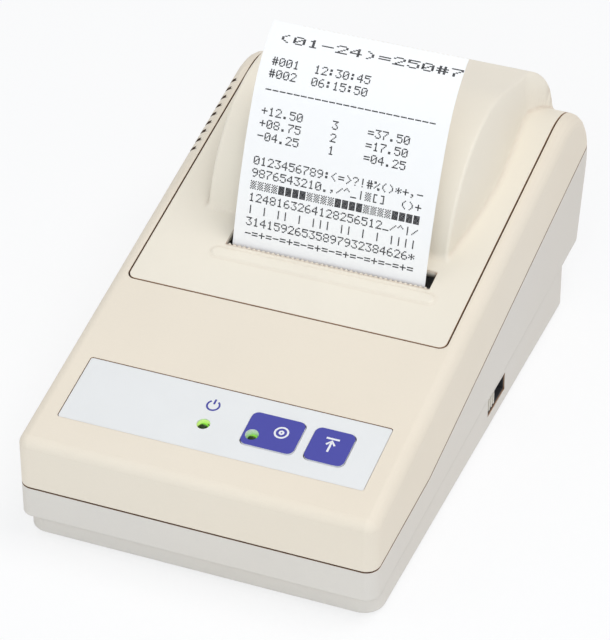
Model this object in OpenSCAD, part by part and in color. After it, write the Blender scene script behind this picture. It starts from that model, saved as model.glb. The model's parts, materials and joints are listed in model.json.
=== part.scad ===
// Desktop dot matrix printer for narrow roll paper, built as an assembly.
// X runs to the printer's right, Y to its rear, Z up.
// The origin lies at floor level, midway between the sides and midway between front and rear.
// Sizes are in millimetres.

/* [Case] */
// Width of the case
case_w = 106; // [104:1:108]
// Depth of the case from the front wall to the rearmost point
case_d = 184; // [183:1:186]
// Height of the sloping deck where it meets the front wall
front_h = 34.4; // [34:0.2:35]
// Slope of the deck
deck_angle = 11.1; // [10.9:0.1:11.3]
// Thickness of the case walls
wall = 2.4; // [2.2:0.1:2.6]
// Rounding of the case's edges
edge_r = 4; // [3.6:0.1:4.4]
// Radius of the big rounding between the deck and the rear wall
rear_r = 22; // [21:0.5:23]
// Lean of the rear wall
rear_lean = 14; // [12:1:15]
// Height of the seam between the two case halves at the front
seam_front_h = 18.2; // [18:0.1:18.6]
// Height of the lower case's bottom edge at the front
low_front_h = 8.3; // [8:0.1:8.6]
// Rise of the lower case's bottom edge along the depth
low_angle = 2.86; // [2.7:0.02:3]
// Distance from the front wall to the bend in the side seam
seam_bend = 42; // [40:1:44]
// Width of the groove that shows at the seam
seam_gap = 0.5; // [0.4:0.05:0.6]

/* [Base] */
// Height of the rubber feet below the base plinth
foot_h = 1.2; // [1:0.1:1.4]
// Distance of the plinth behind the front wall
plinth_front = 3; // [2.5:0.5:3.5]
// Distance of the plinth inside the side walls
plinth_side = 0.5; // [0.4:0.1:0.6]
// Depth of the plinth from front to rear
plinth_d = 164; // [161:1:165]
// Height and depth of the groove between the plinth and the lower case
plinth_groove = 0.6; // [0.4:0.1:0.8]

/* [Cover] */
// Width of the printer cover
cover_w = 96.4; // [96:0.2:96.8]
// Distance from the front wall to the cover's front edge
cover_front = 65.85; // [65.5:0.05:66.2]
// Gap round the cover
cover_gap = 0.45; // [0.4:0.05:0.5]
// Radius of the paper dome
dome_r = 38.5; // [38:0.5:39]
// Half width of the dome's top
dome_half = 37; // [36.5:0.5:37.5]
// Half width of the dome's foot at the rear
dome_foot_half = 44; // [43:0.5:44.5]
// Radius of the rolled lip that holds the hinge pins
hinge_lip_r = 3.2; // [3:0.1:3.4]
// Radius of the hinge pins
hinge_pin_r = 1.5; // [1.4:0.1:1.6]

/* [Control panel] */
// Width of the panel label
label_w = 90; // [88:1:91]
// Distance from the front edge to the label, along the deck
label_start = 11.4; // [11:0.1:12]
// Length of the label along the deck
label_len = 23.2; // [23:0.1:23.6]
// Width of the select key
select_w = 15.5; // [15:0.1:15.8]
// Width of the line feed key
feed_w = 11.5; // [11:0.1:11.8]
// Height of both keys along the deck
key_len = 11.8; // [11.4:0.1:12]
// How far a key travels
key_travel = 0.5; // [0.4:0.1:0.5]

/* [Paper] */
// Width of the paper
paper_w = 59; // [58:0.5:60]
// How far the paper's centre line lies to the right of the case's centre
paper_x = 5; // [4.8:0.1:5.2]
// Thickness of the paper solid
paper_t = 0.2; // [0.15:0.05:0.25]
// Radius of the paper roll
roll_r = 25; // [20:1:25]

/* [Printing mechanism] */
// Radius of the feed roller
feed_r = 5; // [4.9:0.1:5]
// Radius of the pressure roller
pressure_r = 3; // [2.8:0.1:3.1]
// Radius of the steel shafts
shaft_r = 1.5; // [1.4:0.1:1.6]
// Running clearance of the shafts in their holes
fit = 0.05; // [0.03:0.01:0.08]
/* [Hidden] */

$fn = 48;
e = 0.01;
beige = [0.93, 0.88, 0.81];
cover_beige = [0.94, 0.92, 0.86];
grey_beige = [0.90, 0.88, 0.85];
steel = [0.72, 0.73, 0.75];
board_green = [0.12, 0.36, 0.22];
nylon = [0.93, 0.92, 0.88];
black = [0.12, 0.12, 0.13];
key_blue = [0.36, 0.36, 0.67];
white = [0.97, 0.97, 0.97];

// Case outline
front_y = -case_d / 2;
rear_y = case_d / 2;
deck_t = tan(deck_angle);
low_t = tan(low_angle);
function deck_z(y) = front_h + (y - front_y) * deck_t;
function low_z(y) = low_front_h + (y - front_y) * low_t;
bend_y = front_y + seam_bend;
bend_z = seam_front_h + seam_bend * low_t;
function seam_z(y) = y < bend_y
    ? seam_front_h + (y - front_y) * low_t
    : bend_z + (y - bend_y) * deck_t;
rear_cy = rear_y - rear_r;
rear_cz = deck_z(rear_cy) - rear_r / cos(deck_angle);
form_low = -10;
lean_y = rear_cy + rear_r * cos(rear_lean);
lean_z = rear_cz - rear_r * sin(rear_lean);
form_rear_y = lean_y - (lean_z - form_low) * tan(rear_lean) - edge_r / cos(rear_lean);
inner_half = case_w / 2 - wall;
floor_z = foot_h + wall - 0.2;
lip_h = 1.6;
far = 200;

// Cover and hinge
cover_half = cover_w / 2;
cover_y = front_y + cover_front;
hinge_angle = 28.5;
lip_inset = 0.25;
hinge_reach = rear_r - hinge_lip_r - lip_inset;
hinge_y = rear_cy + hinge_reach * cos(hinge_angle);
hinge_z = rear_cz + hinge_reach * sin(hinge_angle);
rail_top_z = 49;
slot_w = paper_w + 3.5;
slot_y = -5.9;
slot_d = 6.7;
bar_d = 1.9;
bar_low = -1.02;
rib_back = 3.75;
rib_d = 3.4;
bar_reach = 0.65;
seat_margin = 0.4;
tooth = 1.5;
tooth_d = 0.8;
dome_y = 44;
dome_z = 45;
dome_edge = 4;
dome_wall = wall - 0.7;
dome_rear_r = 8.5;
dome_rear_y = 76.6;
dome_rear_z = 67.1;

// Control panel, in places along the deck
select_x = 14.3;
feed_x = 30.9;
key_s = 23.3;
key_slack = 0.3;
power_lamp_x = -5.3;
lamp_s = 20.9;
select_lamp_x = 9.1;
select_switch_x = 16.8;
lamp_r = 1.5;
lens_n = -2;
board_top_n = -9.2;
board_t = 1.6;
panel_post_x = [-14, 37];
panel_post_s = [12, 34];

// Mechanism places in the side view
plate_left_x = -30.5;
plate_right_x = 39;
plate_t = 1.5;
frame_z = 14;
frame_top_z = 39.6;
motor_y = -35;
motor_z = 25;
motor_r = 9;
drum_y = -15.5;
drum_z = 19.8;
feed_y = 4;
feed_z = 24;
pressure_z = feed_z + feed_r + 2 * fit + paper_t + pressure_r + 0.1;
rod_y = [-21, -10];
rod_z = 26.5;
carriage_y = -24;
board_z = 7;
post_x = [-24, 34];
post_y = [-42, 8];
board_post_x = [-39, 39];
board_post_y = [-69, 16];
case_post_x = [-44, 44];
front_post_y = -80;
rear_post_y = 57;

// Gears: their module, tooth numbers and the places that keep them in mesh
gear_m = 0.5;
pinion_n = 12;
big_n = 32;
small_n = 12;
cam_n = 30;
idler_n = 14;
feed_n = 24;
mesh_slack = 0.05;
layer_a = plate_left_x - 3.7;
layer_b = plate_left_x - 7.7;
gear_w = 3;
function mesh_d(a, b) = (a + b) * gear_m / 2 + mesh_slack;
function third_point(p, q, a, b, side) =
    let (
        d = norm(q - p),
        u = (q - p) / d,
        along = (a * a - b * b + d * d) / (2 * d),
        up = sqrt(a * a - along * along)
    ) p + along * u + side * up * [-u[1], u[0]];
motor_p = [motor_y, motor_z];
drum_p = [drum_y, drum_z];
feed_p = [feed_y, feed_z];
big_p = third_point(motor_p, drum_p, mesh_d(pinion_n, big_n), mesh_d(small_n, cam_n), 1);
idler_p = third_point(drum_p, feed_p, mesh_d(cam_n, idler_n), mesh_d(idler_n, feed_n), -1);
function heading(p, q) = atan2(q[1] - p[1], q[0] - p[0]);
// Angle of a wheel with nb teeth, driven from a wheel with na teeth that stands at angle turn
function meshed(p, q, na, nb, turn) =
    heading(p, q) + 180 + 180 / nb + (heading(p, q) - turn) * na / nb;
big_turn = meshed(motor_p, big_p, pinion_n, big_n, 0);
cam_turn = meshed(big_p, drum_p, small_n, cam_n, 0);
idler_turn = meshed(drum_p, idler_p, cam_n, idler_n, cam_turn);
feed_turn = meshed(idler_p, feed_p, idler_n, feed_n, idler_turn);

// Paper path in the side view, from the roll to the torn end
roll_y = dome_y;
roll_z = 46;
inlet_r = 10;
nip_z = feed_z + feed_r + fit + paper_t / 2;
print_y = feed_y - inlet_r;
bend_r = 28;
exit_angle = 14.5;
bend_start_z = 43;
exit_y = print_y + bend_r * (1 - cos(exit_angle));
exit_z = bend_start_z + bend_r * sin(exit_angle);
strip_r = 180;
strip_turn = 14.3;
curl_r = 38;
curl_turn = 35.5;
function arc_points(cy, cz, r, from, to, n) =
    [for (i = [0:n]) let (a = from + (to - from) * i / n) [cy + r * cos(a), cz + r * sin(a)]];
nip_reach = norm([roll_y - feed_y, roll_z - nip_z]);
roll_leave = 180 + atan2(roll_z - nip_z, roll_y - feed_y) + acos(roll_r / nip_reach);
web_path = concat(
    [[roll_y + (roll_r + 0.3) * cos(roll_leave), roll_z + (roll_r + 0.3) * sin(roll_leave)]],
    [[feed_y + 2, nip_z + 0.1]],
    arc_points(feed_y, nip_z + inlet_r, inlet_r, 270, 180, 12),
    arc_points(print_y + bend_r, bend_start_z, bend_r, 180, 180 - exit_angle + 0.3, 4)
);

// ---------- shared shapes ----------

// A round bar along X from x0, at one place in the side view
module along_x(x0, y, z) {
    translate([x0, y, z]) rotate([90, 0, 90]) children();
}

// A solid along X whose cross-section is a side-view outline
module side_prism(points, half) {
    along_x(-half, 0, 0) linear_extrude(2 * half) polygon(points);
}

// The same, from x0 and as wide as given
module side_prism_at(x0, width, points) {
    along_x(x0, 0, 0) linear_extrude(width) polygon(points);
}

// Places its children on the deck: X across, Y up the slope, Z out of the surface
module on_deck(x = 0, s = 0, n = 0) {
    translate([0, front_y, front_h]) rotate([deck_angle, 0, 0]) translate([x, s, n]) children();
}

// Distance along the deck of a place at depth y
function deck_s(y) = (y - front_y) / cos(deck_angle);

module round_plate(w, d, h, r) {
    linear_extrude(h) {
        square([w - 2 * r, d], center = true);
        square([w, d - 2 * r], center = true);
        for (x = [-1, 1], y = [-1, 1])
            translate([x * (w / 2 - r), y * (d / 2 - r)]) circle(r, $fn = 32);
    }
}

// A disc along X with rounded rims
module puck(r, half, rim) {
    rotate([0, 90, 0]) rotate_extrude($fn = 72) polygon(concat(
        [[0, -half]],
        [for (a = [-90:22.5:0]) [r - rim + rim * cos(a), rim - half + rim * sin(a)]],
        [for (a = [0:22.5:90]) [r - rim + rim * cos(a), half - rim + rim * sin(a)]],
        [[0, half]]
    ));
}

// The case's outer shape, drawn in by inset on every side
module case_form(inset) {
    r = edge_r - inset;
    corner_x = case_w / 2 - edge_r;
    corner_y = front_y + edge_r;
    hull() {
        for (side = [-1, 1]) {
            translate([side * corner_x, corner_y, deck_z(corner_y) - edge_r / cos(deck_angle)])
                sphere(r, $fn = 32);
            translate([side * corner_x, corner_y, form_low]) sphere(r, $fn = 32);
            translate([side * corner_x, form_rear_y, form_low]) sphere(r, $fn = 32);
        }
        translate([0, rear_cy, rear_cz]) puck(rear_r - inset, case_w / 2 - inset, r);
    }
}

// The side-view band between two heights above the seam
module seam_band(low, high) {
    y0 = front_y - 5;
    y1 = rear_y + 5;
    side_prism([
        [y0, seam_z(y0) + low], [bend_y, seam_z(bend_y) + low], [y1, seam_z(y1) + low],
        [y1, seam_z(y1) + high], [bend_y, seam_z(bend_y) + high], [y0, seam_z(y0) + high]
    ], far);
}

// The dome over the paper roll, drawn in by inset
module dome_form(inset) {
    rim = dome_edge - inset;
    hull() {
        translate([0, dome_y, dome_z]) puck(dome_r - inset, dome_half - inset, rim);
        translate([0, dome_rear_y, dome_rear_z]) puck(dome_rear_r - inset, dome_half - inset, rim);
        for (side = [-1, 1]) {
            translate([side * (dome_half + 2 - inset), 12 + inset, deck_z(12) - 1]) sphere(1, $fn = 16);
            translate([side * (dome_foot_half - 1 - inset), 58, deck_z(58) - 1]) sphere(1, $fn = 16);
            translate([side * (dome_foot_half - 1 - inset), 81 - inset, 60]) sphere(1, $fn = 16);
        }
    }
}

// A screw that points up from z, with a cross recess in its head
module screw(head_r, head_h, shank_r, shank_l) {
    difference() {
        union() {
            cylinder(r = head_r, h = head_h, $fn = 32);
            cylinder(r = shank_r, h = head_h + shank_l, $fn = 24);
        }
        for (turn = [0, 90])
            rotate(turn) translate([-head_r * 0.6, -head_r * 0.12, -e])
                cube([head_r * 1.2, head_r * 0.24, head_h * 0.5]);
    }
}

// Outline of a spur gear with involute flanks
function involute(r, base) = r <= base ? 0 : tan(acos(base / r)) * 180 / PI - acos(base / r);
function flank_angle(r, n, pitch) =
    90 / n - 0.05 / pitch * 180 / PI + involute(pitch, pitch * cos(20)) - involute(r, pitch * cos(20));
function gear_points(n) =
    let (
        pitch = n * gear_m / 2,
        root = pitch - 1.2 * gear_m,
        tip = pitch + 0.85 * gear_m,
        radii = [root, max(root + 0.02, pitch * cos(20)), pitch, (pitch + tip) / 2, tip]
    )
    [for (i = [0:n - 1]) each concat(
        [for (r = radii) let (a = 360 * i / n - flank_angle(r, n, pitch)) [r * cos(a), r * sin(a)]],
        [for (k = [4:-1:0])
            let (r = radii[k], a = 360 * i / n + flank_angle(r, n, pitch)) [r * cos(a), r * sin(a)]]
    )];

module spur(n, width, bore) {
    difference() {
        linear_extrude(width) polygon(gear_points(n));
        translate([0, 0, -e]) cylinder(r = bore, h = width + 2 * e);
    }
}

// ---------- case ----------

module plinth_block(z0, z1, inset) {
    translate([0, front_y + plinth_front + plinth_d / 2, z0])
        round_plate(case_w - 2 * plinth_side - 2 * inset, plinth_d - 2 * inset, z1 - z0, 6 - inset);
}

// The groove round the plinth, just below the lower case's bottom edge
module plinth_line(y0, y1) {
    difference() {
        side_prism([
            [y0, low_z(y0) - plinth_groove], [y1, low_z(y1) - plinth_groove],
            [y1, low_z(y1) + 0.5], [y0, low_z(y0) + 0.5]
        ], far);
        plinth_block(0, 60, plinth_groove);
    }
}

module lower_shell() {
    y0 = front_y - 5;
    y1 = rear_y + 5;
    floor_step = wall - 0.2;
    plinth_top = low_z(plinth_d + front_y) + 2;
    difference() {
        union() {
            intersection() {
                case_form(0);
                side_prism([
                    [y0, low_z(y0)], [y1, low_z(y1)], [y1, seam_z(y1) - seam_gap / 2],
                    [bend_y, seam_z(bend_y) - seam_gap / 2], [y0, seam_z(y0) - seam_gap / 2]
                ], far);
            }
            difference() {
                intersection() {
                    plinth_block(foot_h, plinth_top, 0);
                    side_prism([[y0, 0], [y1, 0], [y1, low_z(y1) + 1], [y0, low_z(y0) + 1]], far);
                }
                plinth_line(y0, y1);
            }
        }
        intersection() {
            case_form(wall);
            side_prism([
                [y0, low_z(y0) + floor_step], [y1, low_z(y1) + floor_step], [y1, 90], [y0, 90]
            ], far);
        }
        plinth_block(floor_z, plinth_top + 1, wall);
    }
}

// Bars along the inside of the front and side walls, reaching out past the walls' inner faces
module lip_bars(reach) {
    bar_t = 1.1;
    for (m = [0, 1])
        mirror([m, 0, 0]) translate([inner_half - bar_t, front_y + 8, 0]) cube([bar_t + reach, 140, 90]);
    translate([-44, front_y + wall - reach, 0]) cube([88, bar_t + reach, 90]);
}

// Rim that stands up inside the upper case's walls and hides the seam
module seam_lip() {
    intersection() {
        lip_bars(0.3);
        seam_band(-3, -seam_gap / 2 - 0.1);
    }
    intersection() {
        lip_bars(-0.12);
        seam_band(-3, lip_h);
    }
}

module lower_posts() {
    for (x = case_post_x) {
        translate([x, front_post_y, foot_h + 0.5])
            cylinder(r = 3.6, h = seam_z(front_post_y) - foot_h - 0.8);
        translate([x, rear_post_y, foot_h + 0.5])
            cylinder(r = 3.6, h = seam_z(rear_post_y) - foot_h - 0.8);
    }
    for (x = post_x, y = post_y)
        translate([x, y, foot_h + 0.5]) cylinder(r = 2.8, h = frame_z - foot_h - 0.5);
    for (x = board_post_x, y = board_post_y)
        translate([x, y, foot_h + 0.5]) cylinder(r = 2.5, h = board_z - foot_h - 0.5);
}

switch_y = 9.2;
switch_z = 8.1;
switch_travel = 7;
connector_x = 8;
connector_z = 31;
flange_half_w = 26.5;
flange_half_h = 6.25;
inlet_x = -35;

module lower_case() color(grey_beige) difference() {
    union() {
        lower_shell();
        seam_lip();
        lower_posts();
    }
    for (x = case_post_x, y = [front_post_y, rear_post_y]) {
        translate([x, y, 0]) cylinder(r = 1.7, h = 60);
        translate([x, y, 0]) cylinder(r = 2.9, h = seam_z(y) - 6);
    }
    for (x = post_x, y = post_y) translate([x, y, frame_z - 8]) cylinder(r = 1.1, h = 10);
    for (x = board_post_x, y = board_post_y) translate([x, y, 3]) cylinder(r = 1, h = 8);
    for (x = foot_x, y = foot_y) translate([x, y, 0]) cylinder(r = foot_seat_r, h = foot_h + 0.6);
    translate([case_w / 2 - 5, switch_y - 7.5, switch_z - 3]) cube([10, 15, 6]);
    translate([connector_x - flange_half_w - 0.4, rear_y - 20, connector_z - flange_half_h - 0.4])
        cube([2 * flange_half_w + 0.8, 30, 2 * flange_half_h + 0.8]);
    translate([inlet_x, rear_y - 20, connector_z]) rotate([-90, 0, 0]) cylinder(r = 4.6, h = 30);
}

module deck_opening(gap) {
    half = cover_half + gap;
    edge_y = cover_y - gap;
    intersection() {
        translate([0, edge_y + far / 2, 0]) round_plate(2 * half, far, far, 2.5);
        side_prism([
            [edge_y - 5, 30], [75, 30], [75, rail_top_z],
            [far, rail_top_z], [far, far], [edge_y - 5, far]
        ], far);
    }
}

// Bosses inside the side rails that hold the hinge pins
module hinge_lugs() {
    lug_l = inner_half + 0.2 - cover_half - cover_gap;
    for (m = [0, 1])
        mirror([m, 0, 0]) along_x(cover_half + cover_gap, hinge_y, hinge_z) cylinder(r = 2.6, h = lug_l);
}

module upper_ledges() {
    ledge_low = -4.2;
    ledge_high = -2.5;
    side_s = deck_s(cover_y);
    side_l = deck_s(60) - side_s;
    for (side = [-1, 1])
        on_deck(side * (inner_half - 1.8), side_s, ledge_low)
            translate([-2.1, 0, 0]) cube([4.2, side_l, ledge_high - ledge_low]);
    on_deck(-inner_half, side_s - 3, ledge_low) cube([2 * inner_half, 4.5, ledge_high - ledge_low]);
    on_deck(-inner_half, side_s - 3, ledge_low) cube([2 * inner_half, 2, 2]);
}

module upper_bosses() {
    front_low = seam_z(front_post_y) + seam_gap / 2;
    rear_low = seam_z(rear_post_y) + seam_gap / 2 + 0.2;
    for (x = case_post_x) {
        translate([x, front_post_y, front_low])
            cylinder(r = 3.2, h = deck_z(front_post_y) - wall - front_low + 0.6);
        translate([x, rear_post_y, rear_low]) cylinder(r = 3.2, h = 12);
        translate([x + sign(x) * 3.5 - 3.5, rear_post_y - 1, rear_low + 2]) cube([7, 2, 10]);
    }
    for (x = panel_post_x, s = panel_post_s)
        on_deck(x, s, board_top_n) cylinder(r = 2.2, h = -board_top_n - wall + 0.4);
}

vent_pitch = 3.9;
vent_count = 9;
vent_first_y = 29;
vent_w = 1.4;
vent_top = 0.4;
vent_low = 14;

module upper_case() color(beige) difference() {
    union() {
        difference() {
            intersection() {
                case_form(0);
                seam_band(seam_gap / 2, 90);
            }
            case_form(wall);
            deck_opening(cover_gap);
        }
        hinge_lugs();
        upper_ledges();
        upper_bosses();
    }
    for (x = case_post_x, y = [front_post_y, rear_post_y])
        translate([x, y, seam_z(y) - 2]) cylinder(r = 1.25, h = 10);
    for (x = panel_post_x, s = panel_post_s) on_deck(x, s, board_top_n - e) cylinder(r = 0.9, h = 5);
    on_deck(0, label_start + label_len / 2, -0.6) round_plate(label_w + 0.3, label_len + 0.3, 3, 0.8);
    on_deck(select_x, key_s, -8) round_plate(select_w + 2 * key_slack, key_len + 2 * key_slack, 10, 2);
    on_deck(feed_x, key_s, -8) round_plate(feed_w + 2 * key_slack, key_len + 2 * key_slack, 10, 2);
    on_deck(power_lamp_x, lamp_s, -8) cylinder(r = 2.1, h = 10);
    for (i = [0:vent_count - 1]) {
        y = vent_first_y + i * vent_pitch;
        translate([-case_w / 2 - 1, y - vent_w / 2, deck_z(y) - vent_low])
            cube([4, vent_w, vent_low - vent_top]);
    }
    for (m = [0, 1])
        mirror([m, 0, 0]) along_x(cover_half - 1, hinge_y, hinge_z) cylinder(r = hinge_pin_r, h = 4.2);
}

foot_x = [-35, 35];
foot_y = [-81, 62];
foot_seat_r = 5.1;

module rubber_feet() color(black) for (x = foot_x, y = foot_y)
    translate([x, y, 0]) cylinder(r1 = 4.4, r2 = 5, h = foot_h + 0.6);

module case_screws() color(steel) for (x = case_post_x, y = [front_post_y, rear_post_y])
    translate([x, y, seam_z(y) - 8.2]) screw(2.7, 2.2, 1.2, 10);

// ---------- cover ----------

module cover_shell() {
    intersection() {
        difference() {
            case_form(0);
            case_form(wall);
        }
        translate([0, cover_y + far / 2, 0]) round_plate(cover_w, far, far, 2.2);
        side_prism([
            [cover_y - 5, 30], [75, 30], [75, hinge_z], [far, hinge_z], [far, far], [cover_y - 5, far]
        ], far);
    }
}

module cover_dome() {
    intersection() {
        dome_form(0);
        side_prism([
            [-5, deck_z(-5) - wall + 0.2], [62, deck_z(62) - wall + 0.2], [80, 57], [84, hinge_z + 1],
            [95, hinge_z + 1], [95, 100], [-5, 100]
        ], far);
    }
}

module printer_cover() color(cover_beige) difference() {
    union() {
        cover_shell();
        cover_dome();
        along_x(-cover_half, hinge_y, hinge_z) cylinder(r = hinge_lip_r, h = cover_w);
        on_deck(paper_x, deck_s(slot_y) - rib_back, -0.5)
            round_plate(slot_w + 5.5, rib_d, 1, rib_d / 2 - 0.05);
        for (side = [-1, 1])
            on_deck(side * 45.2 - 0.6, deck_s(cover_y) + 6, -4.6) cube([1.2, 80, 2.6]);
    }
    intersection() {
        dome_form(dome_wall);
        translate([-far, 0, 40]) cube([2 * far, 83, far]);
    }
    translate([paper_x - slot_w / 2, slot_y, 30]) cube([slot_w, slot_d, 40]);
    on_deck(paper_x - slot_w / 2 - seat_margin, deck_s(slot_y) - bar_d, bar_low)
        cube([slot_w + 2 * seat_margin, bar_d + 1, 5]);
    for (side = [-1, 1])
        along_x(side > 0 ? cover_half - 5.5 : -cover_half - 1, hinge_y, hinge_z)
            cylinder(r = hinge_pin_r + fit, h = 6.5);
}

module tear_bar() color(cover_beige) {
    count = floor((slot_w - 0.4) / tooth);
    width = count * tooth;
    tip = bar_d + bar_reach;
    on_deck(paper_x - width / 2, deck_s(slot_y) - bar_d, bar_low) linear_extrude(1) polygon(concat(
        [[width, 0], [0, 0]],
        [for (i = [0:count - 1]) each [[i * tooth, tip - tooth_d], [(i + 0.5) * tooth, tip]]],
        [[width, tip - tooth_d]]
    ));
}

module hinge_pins() color(steel) for (side = [-1, 1])
    along_x(side > 0 ? cover_half - 5 : -cover_half - 3.1, hinge_y, hinge_z)
        cylinder(r = hinge_pin_r, h = 8.1);

// ---------- control panel ----------

module panel_label() color(white) difference() {
    on_deck(0, label_start + label_len / 2, -0.6) round_plate(label_w, label_len, 0.4, 0.7);
    on_deck(select_x, key_s, -2) round_plate(select_w + 2 * key_slack, key_len + 2 * key_slack, 4, 2);
    on_deck(feed_x, key_s, -2) round_plate(feed_w + 2 * key_slack, key_len + 2 * key_slack, 4, 2);
    on_deck(power_lamp_x, lamp_s, -2) cylinder(r = 1.9, h = 4);
}

module key_body(x, w, stem_x) {
    on_deck(x, key_s, -2.7) round_plate(w, key_len, 2.95, 1.8);
    on_deck(x, key_s, -3.7) round_plate(w + 1.8, key_len + 1.8, 1.1, 2);
    on_deck(stem_x, key_s, -5.2) cylinder(r = 1.5, h = 2);
}

module select_key() color(key_blue) difference() {
    key_body(select_x, select_w, select_switch_x);
    on_deck(select_lamp_x, lamp_s, -6) cylinder(r = 1.9, h = 8);
}

module feed_key() color(key_blue) key_body(feed_x, feed_w, feed_x);

module lamp(x) {
    on_deck(x, lamp_s, board_top_n) {
        cylinder(r = 1.9 - 0.1, h = 1);
        cylinder(r = lamp_r, h = lens_n - board_top_n);
        translate([0, 0, lens_n - board_top_n]) sphere(lamp_r);
    }
}

module power_lamp() color("limegreen") lamp(power_lamp_x);

module select_lamp() color("limegreen") lamp(select_lamp_x);

module panel_board() color(board_green) difference() {
    on_deck(11.5, 23, board_top_n - board_t) round_plate(57, 28, board_t, 1);
    for (x = panel_post_x, s = panel_post_s) on_deck(x, s, board_top_n - 3) cylinder(r = 1.2, h = 5);
}

module panel_screws() color(steel) for (x = panel_post_x, s = panel_post_s)
    on_deck(x, s, board_top_n - board_t - 1.2) screw(1.9, 1.2, 0.85, 5.4);

module push_switch(x) {
    on_deck(x - 3, key_s - 3, board_top_n) cube([6, 6, -board_top_n - 5.9]);
    on_deck(x, key_s, -6.5) cylinder(r = 1.7, h = 0.75);
}

module select_switch() color(black) push_switch(select_switch_x);

module feed_switch() color(black) push_switch(feed_x);

// ---------- electronics ----------

module main_board() color(board_green) difference() {
    translate([0, -31, board_z]) round_plate(86, 102, board_t, 2);
    for (x = post_x, y = post_y) translate([x, y, 0]) cylinder(r = 3.3, h = 20);
    for (x = board_post_x, y = board_post_y) translate([x, y, 0]) cylinder(r = 1.3, h = 20);
    for (x = case_post_x) translate([x, front_post_y, 0]) cylinder(r = 4.2, h = 20);
}

module board_screws() color(steel) for (x = board_post_x, y = board_post_y)
    translate([x, y, board_z + board_t + 1.4]) mirror([0, 0, 1]) screw(2.2, 1.4, 0.95, 5);

chip_z = board_z + board_t;

module processor_chip() color(black) translate([-12, -70, chip_z]) round_plate(20, 20, 4.2, 1);

module memory_chips() color(black) for (i = [0:1])
    translate([8 + 20 * i, -63, chip_z + 1.9]) cube([14, 29, 3.8], center = true);

module capacitors() color([0.2, 0.25, 0.45]) for (i = [0:2])
    translate([-33 + 10.5 * i, -53, chip_z]) cylinder(r = 4.5, h = 13);

module driver_heat_sink() color(steel) translate([30, -30, chip_z]) {
    translate([-6, -8, 0]) cube([12, 16, 1.6]);
    for (i = [0:4]) translate([-6 + 2.7 * i, -8, 0]) cube([1.2, 16, 4.6]);
}

module power_switch_body() color(black) difference() {
    union() {
        translate([44.4, switch_y - 10, floor_z]) cube([5, 20, switch_z + 3.6 - floor_z]);
        translate([49, switch_y - 7.4, switch_z - 2.9]) cube([3.1, 14.8, 5.8]);
    }
    translate([46.4, switch_y - 6.6, switch_z - 1.3]) cube([5, 13.2, 2.6]);
    translate([49.4, switch_y - 7, switch_z - 2.45]) cube([5, 14, 4.9]);
}

module power_switch_slider() color(beige) {
    length = 13.2 - switch_travel;
    translate([49.7, switch_y - 6.7, switch_z - 2.1]) cube([2.3, length, 4.2]);
    for (i = [0:2]) translate([51.8, switch_y - 5.7 + 1.8 * i, switch_z - 1.9]) cube([0.5, 0.7, 3.8]);
    translate([46.7, switch_y - 6, switch_z - 1.1]) cube([3.1, length - 1.8, 2.2]);
}

rear_board_y = 74.6;

module connector_board() color(board_green)
    translate([-46, rear_board_y, low_z(rear_board_y + board_t) + wall - 0.2]) cube([88, board_t, 26]);

module interface_connector() color(steel) {
    face_y = 86;
    nut_x = 23.5;
    difference() {
        union() {
            translate([connector_x - 20, rear_board_y + board_t, connector_z - 6])
                cube([40, face_y - rear_board_y - board_t, 12]);
            translate([connector_x - flange_half_w, face_y - 2, connector_z - flange_half_h])
                cube([2 * flange_half_w, 1, 2 * flange_half_h]);
            translate([connector_x - 19.5, face_y - 2, connector_z - 4.2]) cube([39, 6, 8.4]);
            for (side = [-1, 1])
                translate([connector_x + side * nut_x, face_y - 1.5, connector_z]) rotate([-90, 0, 0])
                    cylinder(r = 2.7, h = 5.5, $fn = 6);
        }
        translate([connector_x - 18.8, face_y - 2, connector_z - 3.5]) cube([37.6, 7, 7]);
        for (side = [-1, 1])
            translate([connector_x + side * nut_x, face_y, connector_z]) rotate([-90, 0, 0])
                cylinder(r = 1.2, h = 5);
    }
    translate([connector_x - 17, face_y - 4, connector_z - 1.2]) cube([34, 5.5, 2.4]);
}

module power_inlet() color(black) difference() {
    union() {
        translate([inlet_x - 5, rear_board_y + board_t, connector_z - 5.5]) cube([10, 8, 11]);
        translate([inlet_x, rear_board_y + board_t, connector_z]) rotate([-90, 0, 0])
            cylinder(r = 4.2, h = 12);
    }
    translate([inlet_x, rear_board_y + 4, connector_z]) rotate([-90, 0, 0]) cylinder(r = 2.8, h = 20);
}

// ---------- printing mechanism ----------

module plate_outline(front) {
    polygon([
        [front, frame_z], [14, frame_z], [14, 36], [10, frame_top_z], [-27, frame_top_z],
        [min(front + 4, -27), 36], [front, 32]
    ]);
}

module mechanism_frame() color(steel) difference() {
    union() {
        translate([plate_left_x + e, -46, frame_z])
            cube([plate_right_x - plate_left_x + plate_t - 2 * e, 60, plate_t]);
        along_x(plate_left_x, 0, 0) linear_extrude(plate_t) plate_outline(-46);
        along_x(plate_right_x, 0, 0) linear_extrude(plate_t) plate_outline(-30);
    }
    for (p = [drum_p, feed_p, [feed_y, pressure_z]])
        along_x(plate_left_x - 5, p[0], p[1]) cylinder(r = shaft_r + fit, h = 90);
    for (y = rod_y) along_x(plate_left_x - 5, y, rod_z) cylinder(r = shaft_r, h = 90);
    along_x(plate_left_x - 1, motor_y, motor_z) cylinder(r = 3, h = 4);
    for (p = [big_p, idler_p]) along_x(plate_left_x - 1, p[0], p[1]) cylinder(r = 1, h = 4);
    for (x = post_x, y = post_y) translate([x, y, frame_z - 1]) cylinder(r = 1.5, h = 5);
    translate([-18, -24, frame_z - 1]) cube([46, 12, 5]);
}

module frame_screws() color(steel) for (x = post_x, y = post_y)
    translate([x, y, frame_z + plate_t + 1.6]) mirror([0, 0, 1]) screw(2.6, 1.6, 1.05, 8);

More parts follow.
